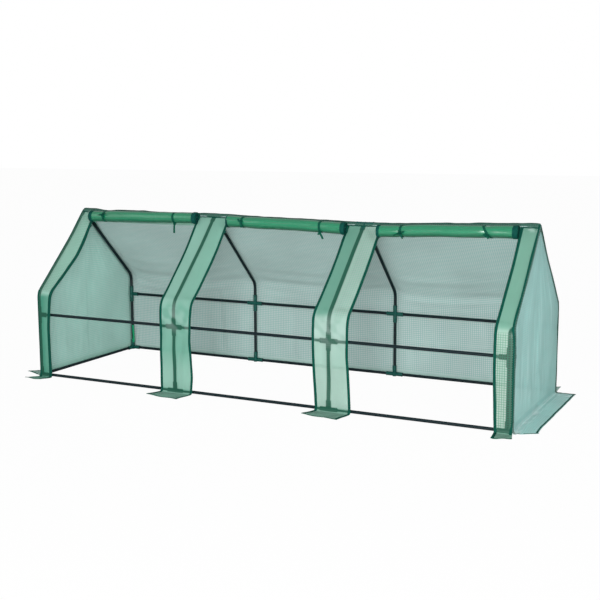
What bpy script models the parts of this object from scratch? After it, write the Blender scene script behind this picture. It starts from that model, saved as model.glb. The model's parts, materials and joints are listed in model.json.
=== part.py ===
"""Low greenhouse: a push-fit tube frame under a sewn woven cover with three roll-up doors.

Metres, +Z up. The origin is on the ground below the middle of the ridge. +X runs along the
length, the doors face -Y and the closed rear side faces +Y.
"""
import math

import bmesh
import bpy
from mathutils import Vector

# Frame, on the centre lines of its tubes
FRAME_LENGTH = 2.68
FRAME_DEPTH = 0.86
RIDGE_HEIGHT = 0.89
KNEE_HEIGHT = 0.474
MID_RAIL_HEIGHT = 0.355
KNEE_BEND_RADIUS = 0.07
BAYS = 3

# Steel tube
TUBE_RADIUS = 0.008
TUBE_WALL = 0.0007
TUBE_SIDES = 10
BEND_STEPS = 4

# Moulded push-fit connectors
SOCKET_CLEARANCE = 0.0003
SOCKET_WALL = 0.003
SOCKET_DRAFT = 0.0009
ARM_LENGTH = 0.048
CORE_HALF_LENGTH = 0.012

# Woven cover
COVER_THICKNESS = 0.0012
COVER_CLEARANCE = 0.0012
SEAM_GAP = 0.0003
RIDGE_STRIP_WIDTH = 0.035
RIDGE_FOLD_RADIUS = 0.009
SKIRT_BEND_RADIUS = 0.008
SKIRT_DEPTH = 0.116
END_SKIRT_DEPTH = 0.104
END_SKIRT_TAPER = 0.065
EAVE_SAG = 0.026
EAVE_SAG_REACH = 0.29
END_FOLD_DEPTH = 0.007
END_FOLDS = 4

# Front piers: the strips of cover in front of each hoop, with a zip bead on each door edge
END_PIER_WIDTH = 0.0875
MIDDLE_PIER_WIDTH = 0.19
PIER_BULGE = 0.004
FLAP_SKEW = 0.016
ZIP_BEAD_WIDTH = 0.004
ZIP_BEAD_HEIGHT = 0.003

# Rolled doors, tied up below the ridge
ROLL_RADIUS = 0.0285
ROLL_END_RADIUS = 0.031
ROLL_WAIST_RADIUS = 0.027
ROLL_TURNS = 3
ROLL_PITCH = 0.0066
ROLL_LAYER = 0.0042
ROLL_TURN_STEPS = 10
ROLL_END_CLEARANCE = 0.011
ROLL_BINDING_WIDTH = 0.014
ROLL_DROP = 0.0565
ROLL_HEADER_GAP = 0.0005
TIE_INSET = 0.11
TIE_WIDTH = 0.008
TIE_THICKNESS = 0.0012
TIE_SLACK = 0.001
TIE_STEPS = 16
HEADER_DEPTH = 0.05

# Zip sliders and their pulls
SLIDER_CLEARANCE = 0.0003
SLIDER_WALL = 0.0013
SLIDER_LENGTH = 0.014
SLIDER_DROP = 0.1
PULL_LENGTH = 0.028
PULL_WIDTH = 0.0066
PULL_THICKNESS = 0.0012
BRIDGE_HEIGHT = 0.0024
BRIDGE_WIDTH = 0.003

# Values that follow from those above
X_AXIS = Vector((1, 0, 0))
Y_AXIS = Vector((0, 1, 0))
Z_AXIS = Vector((0, 0, 1))
SOCKET_RADIUS = TUBE_RADIUS + SOCKET_CLEARANCE
RUN_RADIUS = SOCKET_RADIUS + SOCKET_WALL
STUB_RADIUS = RUN_RADIUS - SOCKET_DRAFT
TUBE_SEAT = CORE_HALF_LENGTH + SOCKET_CLEARANCE
LOWER_RAIL_HEIGHT = RUN_RADIUS + SOCKET_DRAFT
COVER_OFFSET = RUN_RADIUS + COVER_CLEARANCE
HOOPS = [FRAME_LENGTH * (bay / BAYS - 0.5) for bay in range(BAYS + 1)]
SLOPE_LENGTH = math.hypot(FRAME_DEPTH / 2, RIDGE_HEIGHT - KNEE_HEIGHT)
SLOPE_RUN = FRAME_DEPTH / 2 / SLOPE_LENGTH
SLOPE_FALL = (RIDGE_HEIGHT - KNEE_HEIGHT) / SLOPE_LENGTH
COVER_END = FRAME_LENGTH / 2 + COVER_OFFSET + COVER_THICKNESS
FRONT, REAR = -1, 1


def material(name, colour, roughness, metallic=0.0):
    """Returns a Principled material."""
    made = bpy.data.materials.new(name)
    made.use_nodes = True
    shader = made.node_tree.nodes["Principled BSDF"]
    shader.inputs["Base Color"].default_value = (*colour, 1)
    shader.inputs["Roughness"].default_value = roughness
    shader.inputs["Metallic"].default_value = metallic
    return made


def new_object(name, points, faces, finish):
    """Returns an object of one closed mesh, with its faces turned outwards."""
    shape = bpy.data.meshes.new(name)
    work = bmesh.new()
    corners = [work.verts.new(point) for point in points]
    for face in faces:
        work.faces.new([corners[index] for index in face])
    bmesh.ops.recalc_face_normals(work, faces=work.faces)
    work.to_mesh(shape)
    work.free()
    made = bpy.data.objects.new(name, shape)
    made.data.materials.append(finish)
    bpy.context.scene.collection.objects.link(made)
    return made


def combine(target, tool, operation):
    """Applies a Boolean of the tool to the target, and removes the tool."""
    cut = target.modifiers.new(operation, "BOOLEAN")
    cut.operation = operation
    cut.solver = "EXACT"
    cut.object = tool
    graph = bpy.context.evaluated_depsgraph_get()
    result = bpy.data.meshes.new_from_object(target.evaluated_get(graph))
    target.modifiers.clear()
    target.data = result
    bpy.data.objects.remove(tool)


def smooth(made, sharp_angle=40):
    """Shades an object smooth, apart from its sharp edges."""
    made.data.shade_smooth()
    made.data.set_sharp_from_angle(angle=math.radians(sharp_angle))
    return made


def loft(name, rings, finish, closed=False):
    """Returns a solid through rings of points; a closed one joins its last ring to its first."""
    count = len(rings[0])
    points = [point for ring in rings for point in ring]
    faces = []
    for row in range(len(rings) if closed else len(rings) - 1):
        here = row * count
        there = (row + 1) % len(rings) * count
        for index in range(count):
            after = (index + 1) % count
            faces.append((here + index, here + after, there + after, there + index))
    if not closed:
        faces.append(tuple(reversed(range(count))))
        faces.append(tuple(range(len(points) - count, len(points))))
    return new_object(name, points, faces, finish)


def sheet(name, inner_rows, outer_rows, finish):
    """Returns the closed solid between two grids of points of the same size.

    Both grids are split into triangles along the same diagonals, so that a twisted sheet keeps
    its thickness.
    """
    rows, columns = len(inner_rows), len(inner_rows[0])
    points = [point for row in inner_rows + outer_rows for point in row]
    outer = rows * columns
    faces = []
    for row in range(rows - 1):
        for column in range(columns - 1):
            near = row * columns + column
            far = near + columns + 1
            for triangle in ((near, near + 1, far), (near, far, far - 1)):
                faces.append(triangle)
                faces.append(tuple(outer + index for index in reversed(triangle)))
    rim = [column for column in range(columns - 1)]
    rim += [row * columns + columns - 1 for row in range(rows - 1)]
    rim += [rows * columns - 1 - column for column in range(columns - 1)]
    rim += [(rows - 1 - row) * columns for row in range(rows - 1)]
    for here, there in zip(rim, rim[1:] + rim[:1]):
        faces.append((here, there, outer + there, outer + here))
    return new_object(name, points, faces, finish)


def ring(centre, direction, radius, sides=TUBE_SIDES):
    """Returns a circle's points square to a direction, turned alike on tubes and sockets."""
    first = Z_AXIS if abs(direction.x) > 0.9 else X_AXIS
    second = direction.cross(first)
    angles = [math.tau * side / sides for side in range(sides)]
    return [centre + radius * (math.cos(a) * first + math.sin(a) * second) for a in angles]


def hollow_tube(name, stations, finish):
    """Returns a tube with its bore, along stations of (point, direction)."""
    outside = [ring(point, along, TUBE_RADIUS) for point, along in stations]
    bore = [ring(point, along, TUBE_RADIUS - TUBE_WALL) for point, along in reversed(stations)]
    return smooth(loft(name, outside + bore, finish, closed=True))


def straight_tube(name, start, end, finish):
    """Returns a tube between two joints, seated in the sockets at both."""
    along = (end - start).normalized()
    stations = [(start + along * TUBE_SEAT, along), (end - along * TUBE_SEAT, along)]
    return hollow_tube(name, stations, finish)


def rod(start, end, start_radius, end_radius, finish):
    """Returns a plain tapered rod, for a connector's arm or a cutter."""
    along = (end - start).normalized()
    return loft("rod", [ring(start, along, start_radius), ring(end, along, end_radius)], finish)


def bar_through(centre, along, finish, middle_radius=RUN_RADIUS):
    """Returns the two arms of a connector that lie in one line, as one bar."""
    reach = along * ARM_LENGTH
    radii = ((centre - reach, RUN_RADIUS), (centre, middle_radius), (centre + reach, RUN_RADIUS))
    return loft("bar", [ring(point, along, radius) for point, radius in radii], finish)


def add_arm(body, centre, along, finish):
    """Adds one arm to a connector."""
    arm = rod(centre, centre + along * ARM_LENGTH, STUB_RADIUS, RUN_RADIUS, finish)
    combine(body, arm, "UNION")


def cut_socket(body, centre, along, finish):
    """Cuts the socket that a tube seats in, from the arm's mouth to its solid core."""
    start = centre + along * CORE_HALF_LENGTH
    end = centre + along * (ARM_LENGTH + CORE_HALF_LENGTH)
    combine(body, rod(start, end, SOCKET_RADIUS, SOCKET_RADIUS, finish), "DIFFERENCE")


def side_arms(hoop):
    """Returns the directions along X in which rails leave a hoop's connectors."""
    inward = []
    if hoop > 0:
        inward.append(-X_AXIS)
    if hoop < len(HOOPS) - 1:
        inward.append(X_AXIS)
    return inward


def fold_line(corners, radii, pieces, steps=BEND_STEPS):
    """Returns (point, direction) along a line of (y, z) corners with rounded bends.

    radii has one bend radius for each inner corner. pieces says into how many equal pieces
    each straight is divided.
    """
    line = []
    start = Vector(corners[0])
    for index, count in enumerate(pieces):
        corner = Vector(corners[index + 1])
        along = (corner - start).normalized()
        last = index == len(pieces) - 1
        trim = turn = 0.0
        if not last:
            leaving = (Vector(corners[index + 2]) - corner).normalized()
            turn = math.atan2(along.x * leaving.y - along.y * leaving.x, along.dot(leaving))
            trim = radii[index] * math.tan(abs(turn) / 2)
        end = corner - along * trim
        first = 0 if index == 0 else 1
        for piece in range(first, count + 1):
            line.append((start.lerp(end, piece / count), along))
        if last:
            break
        side = math.copysign(1, turn)
        centre = end + Vector((-along.y, along.x)) * radii[index] * side
        for step in range(1, steps + 1):
            angle = turn * step / steps
            cosine, sine = math.cos(angle), math.sin(angle)
            arm = end - centre
            point = centre + Vector((arm.x * cosine - arm.y * sine, arm.x * sine + arm.y * cosine))
            along_here = Vector((along.x * cosine - along.y * sine, along.x * sine + along.y * cosine))
            line.append((point, along_here))
        start = line[-1][0]
    return line


def slope_point(side, drop, offset):
    """Returns (y, z) at a distance down a roof slope and an offset out from its tubes."""
    return (side * (SLOPE_RUN * drop + SLOPE_FALL * offset),
            RIDGE_HEIGHT - SLOPE_FALL * drop + SLOPE_RUN * offset)


def cover_knee(side):
    """Returns (y, z) where the cover's inner face would turn from roof slope to wall."""
    reach = FRAME_DEPTH / 2 + COVER_OFFSET
    drop = (reach - SLOPE_FALL * COVER_OFFSET) / SLOPE_RUN
    return side * reach, slope_point(side, drop, COVER_OFFSET)[1]


def cover_ground(side, skirt):
    """Returns the (y, z) corners of the cover's inner face at the ground and at its hem."""
    reach = FRAME_DEPTH / 2 + COVER_OFFSET
    return (side * reach, 0.0), (side * (reach + skirt), 0.0)


def in_3d(x, flat):
    """Returns the point at x above a (y, z) point."""
    return Vector((x, flat[0], flat[1]))


def outward(along, side):
    """Returns the (y, z) direction out of the cover, for a line that runs down that side."""
    return Vector((-along.y, along.x)) if side == REAR else Vector((along.y, -along.x))


def make_frame(steel, plastic):
    """Builds the hoops, rails and connectors."""
    for side, side_name in ((FRONT, "front"), (REAR, "rear")):
        y = side * FRAME_DEPTH / 2
        inward = -side * Y_AXIS
        for bay in range(BAYS):
            left, right = HOOPS[bay], HOOPS[bay + 1]
            for name, z in (("lower", LOWER_RAIL_HEIGHT), ("mid", MID_RAIL_HEIGHT)):
                ends = Vector((left, y, z)), Vector((right, y, z))
                straight_tube(f"{side_name}_{name}_rail_{bay + 1}", *ends, steel)
        for hoop, x in enumerate(HOOPS):
            make_post(f"{side_name}_post_{hoop + 1}", hoop, x, y, inward, steel)
            make_mid_connector(f"{side_name}_mid_connector_{hoop + 1}", hoop, x, y, plastic)
            make_rafter(f"{side_name}_rafter_{hoop + 1}", hoop, x, side, steel)
    for bay in range(BAYS):
        ends = [Vector((x, 0, RIDGE_HEIGHT)) for x in (HOOPS[bay], HOOPS[bay + 1])]
        straight_tube(f"ridge_rail_{bay + 1}", *ends, steel)
    for name, x in (("left", HOOPS[0]), ("right", HOOPS[-1])):
        ends = [Vector((x, side * FRAME_DEPTH / 2, LOWER_RAIL_HEIGHT)) for side in (FRONT, REAR)]
        straight_tube(f"{name}_base_bar", *ends, steel)


def make_post(name, hoop, x, y, inward, steel):
    """Builds a post with the foot connector on its lower end."""
    centre = Vector((x, y, LOWER_RAIL_HEIGHT))
    ground = Vector((x, y, 0))
    body = rod(ground, centre + Z_AXIS * ARM_LENGTH, RUN_RADIUS, RUN_RADIUS, steel)
    arms = side_arms(hoop)
    if len(arms) == 2:
        combine(body, bar_through(centre, X_AXIS, steel, STUB_RADIUS), "UNION")
    else:
        arms.append(inward)
        for along in arms:
            add_arm(body, centre, along, steel)
    for along in arms:
        cut_socket(body, centre, along, steel)
    top = Vector((x, y, MID_RAIL_HEIGHT - TUBE_SEAT))
    combine(body, rod(centre, top, TUBE_RADIUS, TUBE_RADIUS, steel), "UNION")
    bore_start = centre + Z_AXIS * TUBE_SEAT
    bore_radius = TUBE_RADIUS - TUBE_WALL
    combine(body, rod(bore_start, top + Z_AXIS * TUBE_SEAT, bore_radius, bore_radius, steel), "DIFFERENCE")
    body.name = name
    smooth(body)


def make_mid_connector(name, hoop, x, y, plastic):
    """Builds the tee or cross that joins a post, a rafter and the mid rails."""
    centre = Vector((x, y, MID_RAIL_HEIGHT))
    body = bar_through(centre, Z_AXIS, plastic)
    arms = side_arms(hoop)
    if len(arms) == 2:
        combine(body, bar_through(centre, X_AXIS, plastic, STUB_RADIUS), "UNION")
    else:
        add_arm(body, centre, arms[0], plastic)
    for along in arms + [Z_AXIS, -Z_AXIS]:
        cut_socket(body, centre, along, plastic)
    body.name = name
    smooth(body)


def make_rafter(name, hoop, x, side, steel):
    """Builds a bent rafter; a front one carries the connector of its hoop at the ridge."""
    downhill = Vector((0, side * SLOPE_RUN, -SLOPE_FALL))
    uphill_end = 0.0 if side == FRONT else TUBE_SEAT
    y = side * FRAME_DEPTH / 2
    corners = [(y, MID_RAIL_HEIGHT + TUBE_SEAT), (y, KNEE_HEIGHT), slope_point(side, uphill_end, 0)]
    line = fold_line(corners, [KNEE_BEND_RADIUS], [1, 1])
    stations = [(in_3d(x, point), Vector((0, along.x, along.y))) for point, along in line]
    if side == REAR:
        hollow_tube(name, stations, steel)
        return
    ridge = Vector((x, 0, RIDGE_HEIGHT))
    arms = side_arms(hoop)
    if len(arms) == 2:
        body = bar_through(ridge, X_AXIS, steel)
    else:
        back = ridge - arms[0] * RUN_RADIUS
        body = rod(back, ridge + arms[0] * ARM_LENGTH, RUN_RADIUS, RUN_RADIUS, steel)
    rear_downhill = Vector((0, -downhill.y, downhill.z))
    add_arm(body, ridge, rear_downhill, steel)
    add_arm(body, ridge, downhill, steel)
    combine(body, loft("tube", [ring(*station, TUBE_RADIUS) for station in stations], steel), "UNION")
    for along in arms + [rear_downhill]:
        cut_socket(body, ridge, along, steel)
    bore_radius = TUBE_RADIUS - TUBE_WALL
    foot, foot_along = stations[0]
    stations[0] = (foot - foot_along * TUBE_SEAT, foot_along)
    stations[-1] = (ridge + downhill * TUBE_SEAT, -downhill)
    combine(body, loft("bore", [ring(*station, bore_radius) for station in stations], steel), "DIFFERENCE")
    body.name = name
    smooth(body)


def rear_profile():
    """Returns the line of the rear panel: over the ridge, down the rear and out along its skirt."""
    apex = (0.0, RIDGE_HEIGHT + COVER_OFFSET / SLOPE_RUN)
    front_edge = slope_point(FRONT, RIDGE_STRIP_WIDTH, COVER_OFFSET)
    corners = [front_edge, apex, cover_knee(REAR), *cover_ground(REAR, SKIRT_DEPTH)]
    radii = [RIDGE_FOLD_RADIUS, KNEE_BEND_RADIUS + COVER_OFFSET, SKIRT_BEND_RADIUS]
    line = fold_line(corners, radii, [1, 5, 4, 2])
    rail_top = Vector((corners[2][0], MID_RAIL_HEIGHT + TUBE_RADIUS))
    rows_above = sum(point.y > rail_top.y for point, along in line)
    line.insert(rows_above, (rail_top, Vector((0, -1))))
    return line


def eave_dip(x, point):
    """Returns how far the rear panel hangs in between two hoops, near the eave."""
    along = (x - HOOPS[0]) / (FRAME_LENGTH / BAYS)
    between = math.sin(math.pi * along) ** 2 if 0 < along < BAYS else 0.0
    knee_z = cover_knee(REAR)[1]
    room_above_rail = knee_z - MID_RAIL_HEIGHT - TUBE_RADIUS
    reach = EAVE_SAG_REACH if point.y > knee_z else min(EAVE_SAG_REACH, room_above_rail)
    fall_off = max(0.0, 1 - ((point.y - knee_z) / reach) ** 2) ** 2
    return EAVE_SAG * between * fall_off


def make_rear_panel(cloth):
    """Builds the rear wall, rear roof slope, ridge strip and rear skirt, sewn as one."""
    columns = 8 * BAYS
    inner_rows, outer_rows = [], []
    inward = Vector((-math.cos(math.radians(23)), -math.sin(math.radians(23))))
    for point, along in rear_profile():
        out = outward(along, REAR)
        inner, outer = [], []
        for column in range(columns + 1):
            x = COVER_END * (2 * column / columns - 1)
            place = point + inward * eave_dip(x, point)
            inner.append(in_3d(x, place))
            outer.append(in_3d(x, place + out * COVER_THICKNESS))
        inner_rows.append(inner)
        outer_rows.append(outer)
    smooth(sheet("rear_panel", inner_rows, outer_rows, cloth), 60)


def front_profile(strip_edge, skirt):
    """Returns the line of a front strip: down the slope and the wall, and out along its flap."""
    top = slope_point(FRONT, strip_edge, COVER_OFFSET)
    corners = [top, cover_knee(FRONT), *cover_ground(FRONT, skirt)]
    radii = [KNEE_BEND_RADIUS + COVER_OFFSET, SKIRT_BEND_RADIUS]
    return fold_line(corners, radii, [5, 4, 2])


def make_end_panel(name, side, cloth):
    """Builds the gabled panel of one end, with soft upright folds, and its skirt."""
    plane = side * (FRAME_LENGTH / 2 + COVER_OFFSET)
    outline = [point for point, along in front_profile(RIDGE_STRIP_WIDTH / 2, 0.0) if along.y < -0.02]
    outline = [point for point in outline if point.y > SKIRT_BEND_RADIUS + SEAM_GAP]
    columns = 4 * END_FOLDS
    skirt = fold_line([(0, SKIRT_BEND_RADIUS * 2), (0, 0), (END_SKIRT_DEPTH, 0)], [SKIRT_BEND_RADIUS], [1, 2])
    wall_depth = FRAME_DEPTH / 2 + COVER_OFFSET - SEAM_GAP
    rows = [(0.0, point.y, -point.x - SEAM_GAP, 0.0, Vector((1, 0))) for point in outline]
    for point, along in skirt:
        spread = point.x / END_SKIRT_DEPTH
        rows.append((point.x, point.y, wall_depth, spread, Vector((-along.y, along.x))))
    inner_rows, outer_rows = [], []
    for reach, z, depth, spread, out in rows:
        inner, outer = [], []
        ramp = min(1.0, z / (SKIRT_DEPTH + SKIRT_BEND_RADIUS)) * (1 - z / RIDGE_HEIGHT) ** 0.5
        for column in range(columns + 1):
            across = 2 * column / columns - 1
            wave = 0.5 - 0.5 * math.cos(math.pi * END_FOLDS * (across + 1))
            fold = END_FOLD_DEPTH * wave * ramp * (1 - across ** 2) ** 0.5
            front_taper = END_SKIRT_TAPER * spread * (1 - across) / 2
            y = across * depth + front_taper
            x = plane + side * (reach + fold)
            inner.append(Vector((x, y, z)))
            outer.append(Vector((x + side * out.x * COVER_THICKNESS, y, z + out.y * COVER_THICKNESS)))
        inner_rows.append(inner)
        outer_rows.append(outer)
    smooth(sheet(name, inner_rows, outer_rows, cloth), 60)


def pier_edges(hoop):
    """Returns the x of a pier's two edges."""
    if hoop == 0:
        return -COVER_END, END_PIER_WIDTH - COVER_END
    if hoop == len(HOOPS) - 1:
        return COVER_END - END_PIER_WIDTH, COVER_END
    return HOOPS[hoop] - MIDDLE_PIER_WIDTH / 2, HOOPS[hoop] + MIDDLE_PIER_WIDTH / 2


def make_pier(hoop, cloth):
    """Builds the strip of cover in front of a hoop, with a zip bead on each door edge."""
    left, right = pier_edges(hoop)
    step = SEAM_GAP
    columns = []
    if hoop > 0:
        columns += [(left, ZIP_BEAD_HEIGHT), (left + ZIP_BEAD_WIDTH, ZIP_BEAD_HEIGHT)]
        columns += [(left + ZIP_BEAD_WIDTH + step, COVER_THICKNESS)]
    else:
        columns += [(left, COVER_THICKNESS)]
    inside = (0.3, 0.5, 0.7) if 0 < hoop < len(HOOPS) - 1 else (0.5,)
    columns += [(left + share * (right - left), COVER_THICKNESS) for share in inside]
    if hoop < len(HOOPS) - 1:
        columns += [(right - ZIP_BEAD_WIDTH - step, COVER_THICKNESS)]
        columns += [(right - ZIP_BEAD_WIDTH, ZIP_BEAD_HEIGHT), (right, ZIP_BEAD_HEIGHT)]
    else:
        columns += [(right, COVER_THICKNESS)]
    inner_rows, outer_rows = [], []
    wall = FRAME_DEPTH / 2 + COVER_OFFSET
    for point, along in front_profile(RIDGE_STRIP_WIDTH + SEAM_GAP, SKIRT_DEPTH):
        out = outward(along, FRONT)
        flap = max(0.0, -point.x - wall) / SKIRT_DEPTH
        inner, outer = [], []
        for x, thickness in columns:
            share = (x - left) / (right - left)
            bulge = PIER_BULGE * math.sin(math.pi * share) ** 2 * (1 - flap) * (-along.y)
            skewed = x - FLAP_SKEW * flap
            place = point + out * max(0.0, bulge)
            inner.append(in_3d(skewed, place))
            outer.append(in_3d(skewed, place + out * thickness))
        inner_rows.append(inner)
        outer_rows.append(outer)
    smooth(sheet(f"front_pier_{hoop + 1}", inner_rows, outer_rows, cloth), 60)


def doorway(bay):
    """Returns the x of the two zip beads beside a door."""
    return pier_edges(bay)[1], pier_edges(bay + 1)[0]


def roll_centre():
    """Returns (y, z) of the middle of a tied-up roll."""
    offset = COVER_OFFSET + COVER_THICKNESS + ROLL_HEADER_GAP + ROLL_END_RADIUS
    return Vector(slope_point(FRONT, ROLL_DROP, offset))


def make_roll(bay, cloth):
    """Builds a rolled-up door: a spiral of cloth, drawn in at its ties and bound at its ends."""
    left, right = doorway(bay)
    left += ROLL_END_CLEARANCE
    right -= ROLL_END_CLEARANCE
    middle = (left + right) / 2
    stations = [(left, ROLL_END_RADIUS), (left + ROLL_BINDING_WIDTH, ROLL_END_RADIUS)]
    stations += [(left + 2 * ROLL_BINDING_WIDTH, ROLL_RADIUS), (left + TIE_INSET, ROLL_WAIST_RADIUS)]
    stations += [(middle, ROLL_RADIUS)]
    stations += [(left + right - x, radius) for x, radius in reversed(stations[:-1])]
    centre = roll_centre()
    steps = ROLL_TURNS * ROLL_TURN_STEPS
    inner_rows, outer_rows = [], []
    for x, radius in stations:
        inner, outer = [], []
        for step in range(steps + 1):
            angle = math.tau * step / ROLL_TURN_STEPS + math.radians(225)
            reach = radius - ROLL_PITCH * step / ROLL_TURN_STEPS
            spoke = Vector((math.cos(angle), math.sin(angle)))
            outer.append(in_3d(x, centre + spoke * reach))
            inner.append(in_3d(x, centre + spoke * (reach - ROLL_LAYER)))
        inner_rows.append(inner)
        outer_rows.append(outer)
    gap = min(math.dist(here, there) for here in inner_rows[0] for there in outer_rows[0]
              if math.dist(here, there) < ROLL_PITCH - ROLL_LAYER + SEAM_GAP)
    print(f"door_roll_{bay + 1}: least gap between turns {gap * 1000:.2f} mm")
    smooth(sheet(f"door_roll_{bay + 1}", inner_rows, outer_rows, cloth), 60)


def tie_positions(bay):
    """Returns the x of the two ties of a door."""
    left, right = doorway(bay)
    return left + ROLL_END_CLEARANCE + TIE_INSET, right - ROLL_END_CLEARANCE - TIE_INSET


def make_header(bay, cloth, tape):
    """Builds the top of a door, sewn below the ridge strip, with the two ties round its roll."""
    left, right = doorway(bay)
    left += ROLL_END_CLEARANCE
    right -= ROLL_END_CLEARANCE
    drops = (RIDGE_STRIP_WIDTH + SEAM_GAP, RIDGE_STRIP_WIDTH + HEADER_DEPTH)
    inner_rows, outer_rows = [], []
    for drop in drops:
        inner = slope_point(FRONT, drop, COVER_OFFSET)
        outer = slope_point(FRONT, drop, COVER_OFFSET + COVER_THICKNESS)
        inner_rows.append([in_3d(left, inner), in_3d(right, inner)])
        outer_rows.append([in_3d(left, outer), in_3d(right, outer)])
    body = sheet("header", inner_rows, outer_rows, cloth)
    reach = ROLL_HEADER_GAP + ROLL_END_RADIUS + ROLL_WAIST_RADIUS + TIE_SLACK
    bore = (reach + COVER_THICKNESS / 2 - TIE_THICKNESS) / 2
    offset = COVER_OFFSET + COVER_THICKNESS + reach - bore
    centre = Vector(slope_point(FRONT, ROLL_DROP, offset))
    sewn_angle = math.atan2(-SLOPE_RUN, SLOPE_FALL)
    for x in tie_positions(bay):
        rings = []
        for step in range(TIE_STEPS):
            angle = sewn_angle + math.tau * step / TIE_STEPS
            spoke = Vector((math.cos(angle), math.sin(angle)))
            near = centre + spoke * bore
            far = centre + spoke * (bore + TIE_THICKNESS)
            west, east = x - TIE_WIDTH / 2, x + TIE_WIDTH / 2
            rings.append([in_3d(west, near), in_3d(east, near), in_3d(east, far), in_3d(west, far)])
        combine(body, loft("tie", rings, tape, closed=True), "UNION")
    body.name = f"door_header_{bay + 1}"


def make_slider(number, edge_x, door_side, metal):
    """Builds a zip slider round the bead of a pier's edge, with its pull hanging down the slope.

    door_side is +1 where the door is on the bead's +X side, and -1 on the other.
    """
    clear, wall = SLIDER_CLEARANCE, SLIDER_WALL
    back = -ZIP_BEAD_WIDTH - clear
    roof = ZIP_BEAD_HEIGHT + clear
    lip = COVER_THICKNESS + clear
    outline = [(back - wall, -clear - wall), (clear + wall, -clear - wall), (clear + wall, roof + wall),
               (back - wall, roof + wall), (back - wall, lip), (back, lip), (back, roof),
               (clear, roof), (clear, -clear), (back - wall, -clear)]
    body = slope_block(outline, edge_x, door_side, SLIDER_DROP, SLIDER_DROP + SLIDER_LENGTH, metal)
    middle = (back + clear) / 2
    deck = roof + wall
    sink = wall / 2
    half = BRIDGE_WIDTH / 2
    bridge = [(middle - half, deck - sink), (middle + half, deck - sink),
              (middle + half, deck + BRIDGE_HEIGHT), (middle - half, deck + BRIDGE_HEIGHT)]
    tab_low = deck + (BRIDGE_HEIGHT - PULL_THICKNESS) / 2
    half = PULL_WIDTH / 2
    tab = [(middle - half, tab_low), (middle + half, tab_low),
           (middle + half, tab_low + PULL_THICKNESS), (middle - half, tab_low + PULL_THICKNESS)]
    start = SLIDER_DROP + SLIDER_LENGTH / 4
    bridge_end = SLIDER_DROP + SLIDER_LENGTH * 3 / 4
    combine(body, slope_block(bridge, edge_x, door_side, start, bridge_end, metal), "UNION")
    tab_start = SLIDER_DROP + SLIDER_LENGTH / 2
    combine(body, slope_block(tab, edge_x, door_side, tab_start, tab_start + PULL_LENGTH, metal), "UNION")
    body.name = f"zip_slider_{number}"


def slope_block(outline, edge_x, door_side, top_drop, bottom_drop, finish):
    """Returns an outline of (across, out) points carried down the front slope."""
    rings = []
    for drop in (top_drop, bottom_drop):
        rings.append([in_3d(edge_x + door_side * across, slope_point(FRONT, drop, COVER_OFFSET + out))
                      for across, out in outline])
    return loft("block", rings, finish)


def main():
    """Builds the greenhouse."""
    for old in list(bpy.data.objects):
        bpy.data.objects.remove(old)
    steel = material("green_black_steel", (0.012, 0.022, 0.018), 0.38, 0.3)
    plastic = material("green_plastic", (0.02, 0.16, 0.08), 0.45)
    cloth = material("woven_cover", (0.42, 0.72, 0.6), 0.4)
    door = material("rolled_door_cloth", (0.08, 0.45, 0.26), 0.35)
    tape = material("dark_green_tape", (0.01, 0.1, 0.05), 0.6)
    make_frame(steel, plastic)
    make_rear_panel(cloth)
    make_end_panel("left_end_panel", -1, cloth)
    make_end_panel("right_end_panel", 1, cloth)
    for hoop in range(len(HOOPS)):
        make_pier(hoop, cloth)
    for bay in range(BAYS):
        make_roll(bay, door)
        make_header(bay, door, tape)
        left, right = doorway(bay)
        make_slider(2 * bay + 1, left, 1, tape)
        make_slider(2 * bay + 2, right, -1, tape)


main()
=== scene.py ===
"""Looks of a low greenhouse: dark tube frame, moulded connectors and a sewn woven cover with rolled doors.

Every length is in metres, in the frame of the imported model: +X along the ridge, -Y towards the doors.
"""
import json
import logging
import math
from dataclasses import dataclass, field
from enum import Enum

import bmesh
import bpy
import numpy as np
from mathutils import Matrix, Vector


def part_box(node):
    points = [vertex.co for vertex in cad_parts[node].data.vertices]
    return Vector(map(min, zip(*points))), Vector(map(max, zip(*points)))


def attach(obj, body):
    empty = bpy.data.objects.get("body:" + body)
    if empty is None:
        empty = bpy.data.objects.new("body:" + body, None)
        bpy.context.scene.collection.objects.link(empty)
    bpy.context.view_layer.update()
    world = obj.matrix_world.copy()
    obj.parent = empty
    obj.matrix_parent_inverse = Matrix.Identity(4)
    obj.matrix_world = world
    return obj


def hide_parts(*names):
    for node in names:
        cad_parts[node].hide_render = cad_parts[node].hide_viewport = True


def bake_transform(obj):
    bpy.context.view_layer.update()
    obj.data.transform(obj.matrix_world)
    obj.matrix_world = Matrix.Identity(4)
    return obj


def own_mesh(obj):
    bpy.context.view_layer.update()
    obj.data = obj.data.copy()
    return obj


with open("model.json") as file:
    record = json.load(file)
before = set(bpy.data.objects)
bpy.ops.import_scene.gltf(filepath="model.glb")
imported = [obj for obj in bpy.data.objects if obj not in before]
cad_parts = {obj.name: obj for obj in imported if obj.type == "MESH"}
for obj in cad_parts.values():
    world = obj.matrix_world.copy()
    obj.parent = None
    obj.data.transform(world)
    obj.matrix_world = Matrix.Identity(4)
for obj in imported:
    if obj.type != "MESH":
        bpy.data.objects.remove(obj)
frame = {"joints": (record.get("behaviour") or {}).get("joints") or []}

Points = np.ndarray
Pair = tuple[float, float]
Piece = bpy.types.Object
Material = bpy.types.Material
Socket = bpy.types.NodeSocket
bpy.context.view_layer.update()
ROOT = "root"
LOG = logging.getLogger("greenhouse")
X_AXIS = np.array([1.0, 0.0, 0.0])
Z_AXIS = np.array([0.0, 0.0, 1.0])
INSIDE = np.array([0.0, 0.0, 0.4])
MARKS = ("tube_gap", "second_layer", "white_crease")
UNMARKED = (1.0, 0.0, 0.0)
WEFT_PITCH = 0.0021
WARP_PITCH = 0.0011
SMOOTHED_ROWS = 10
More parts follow.
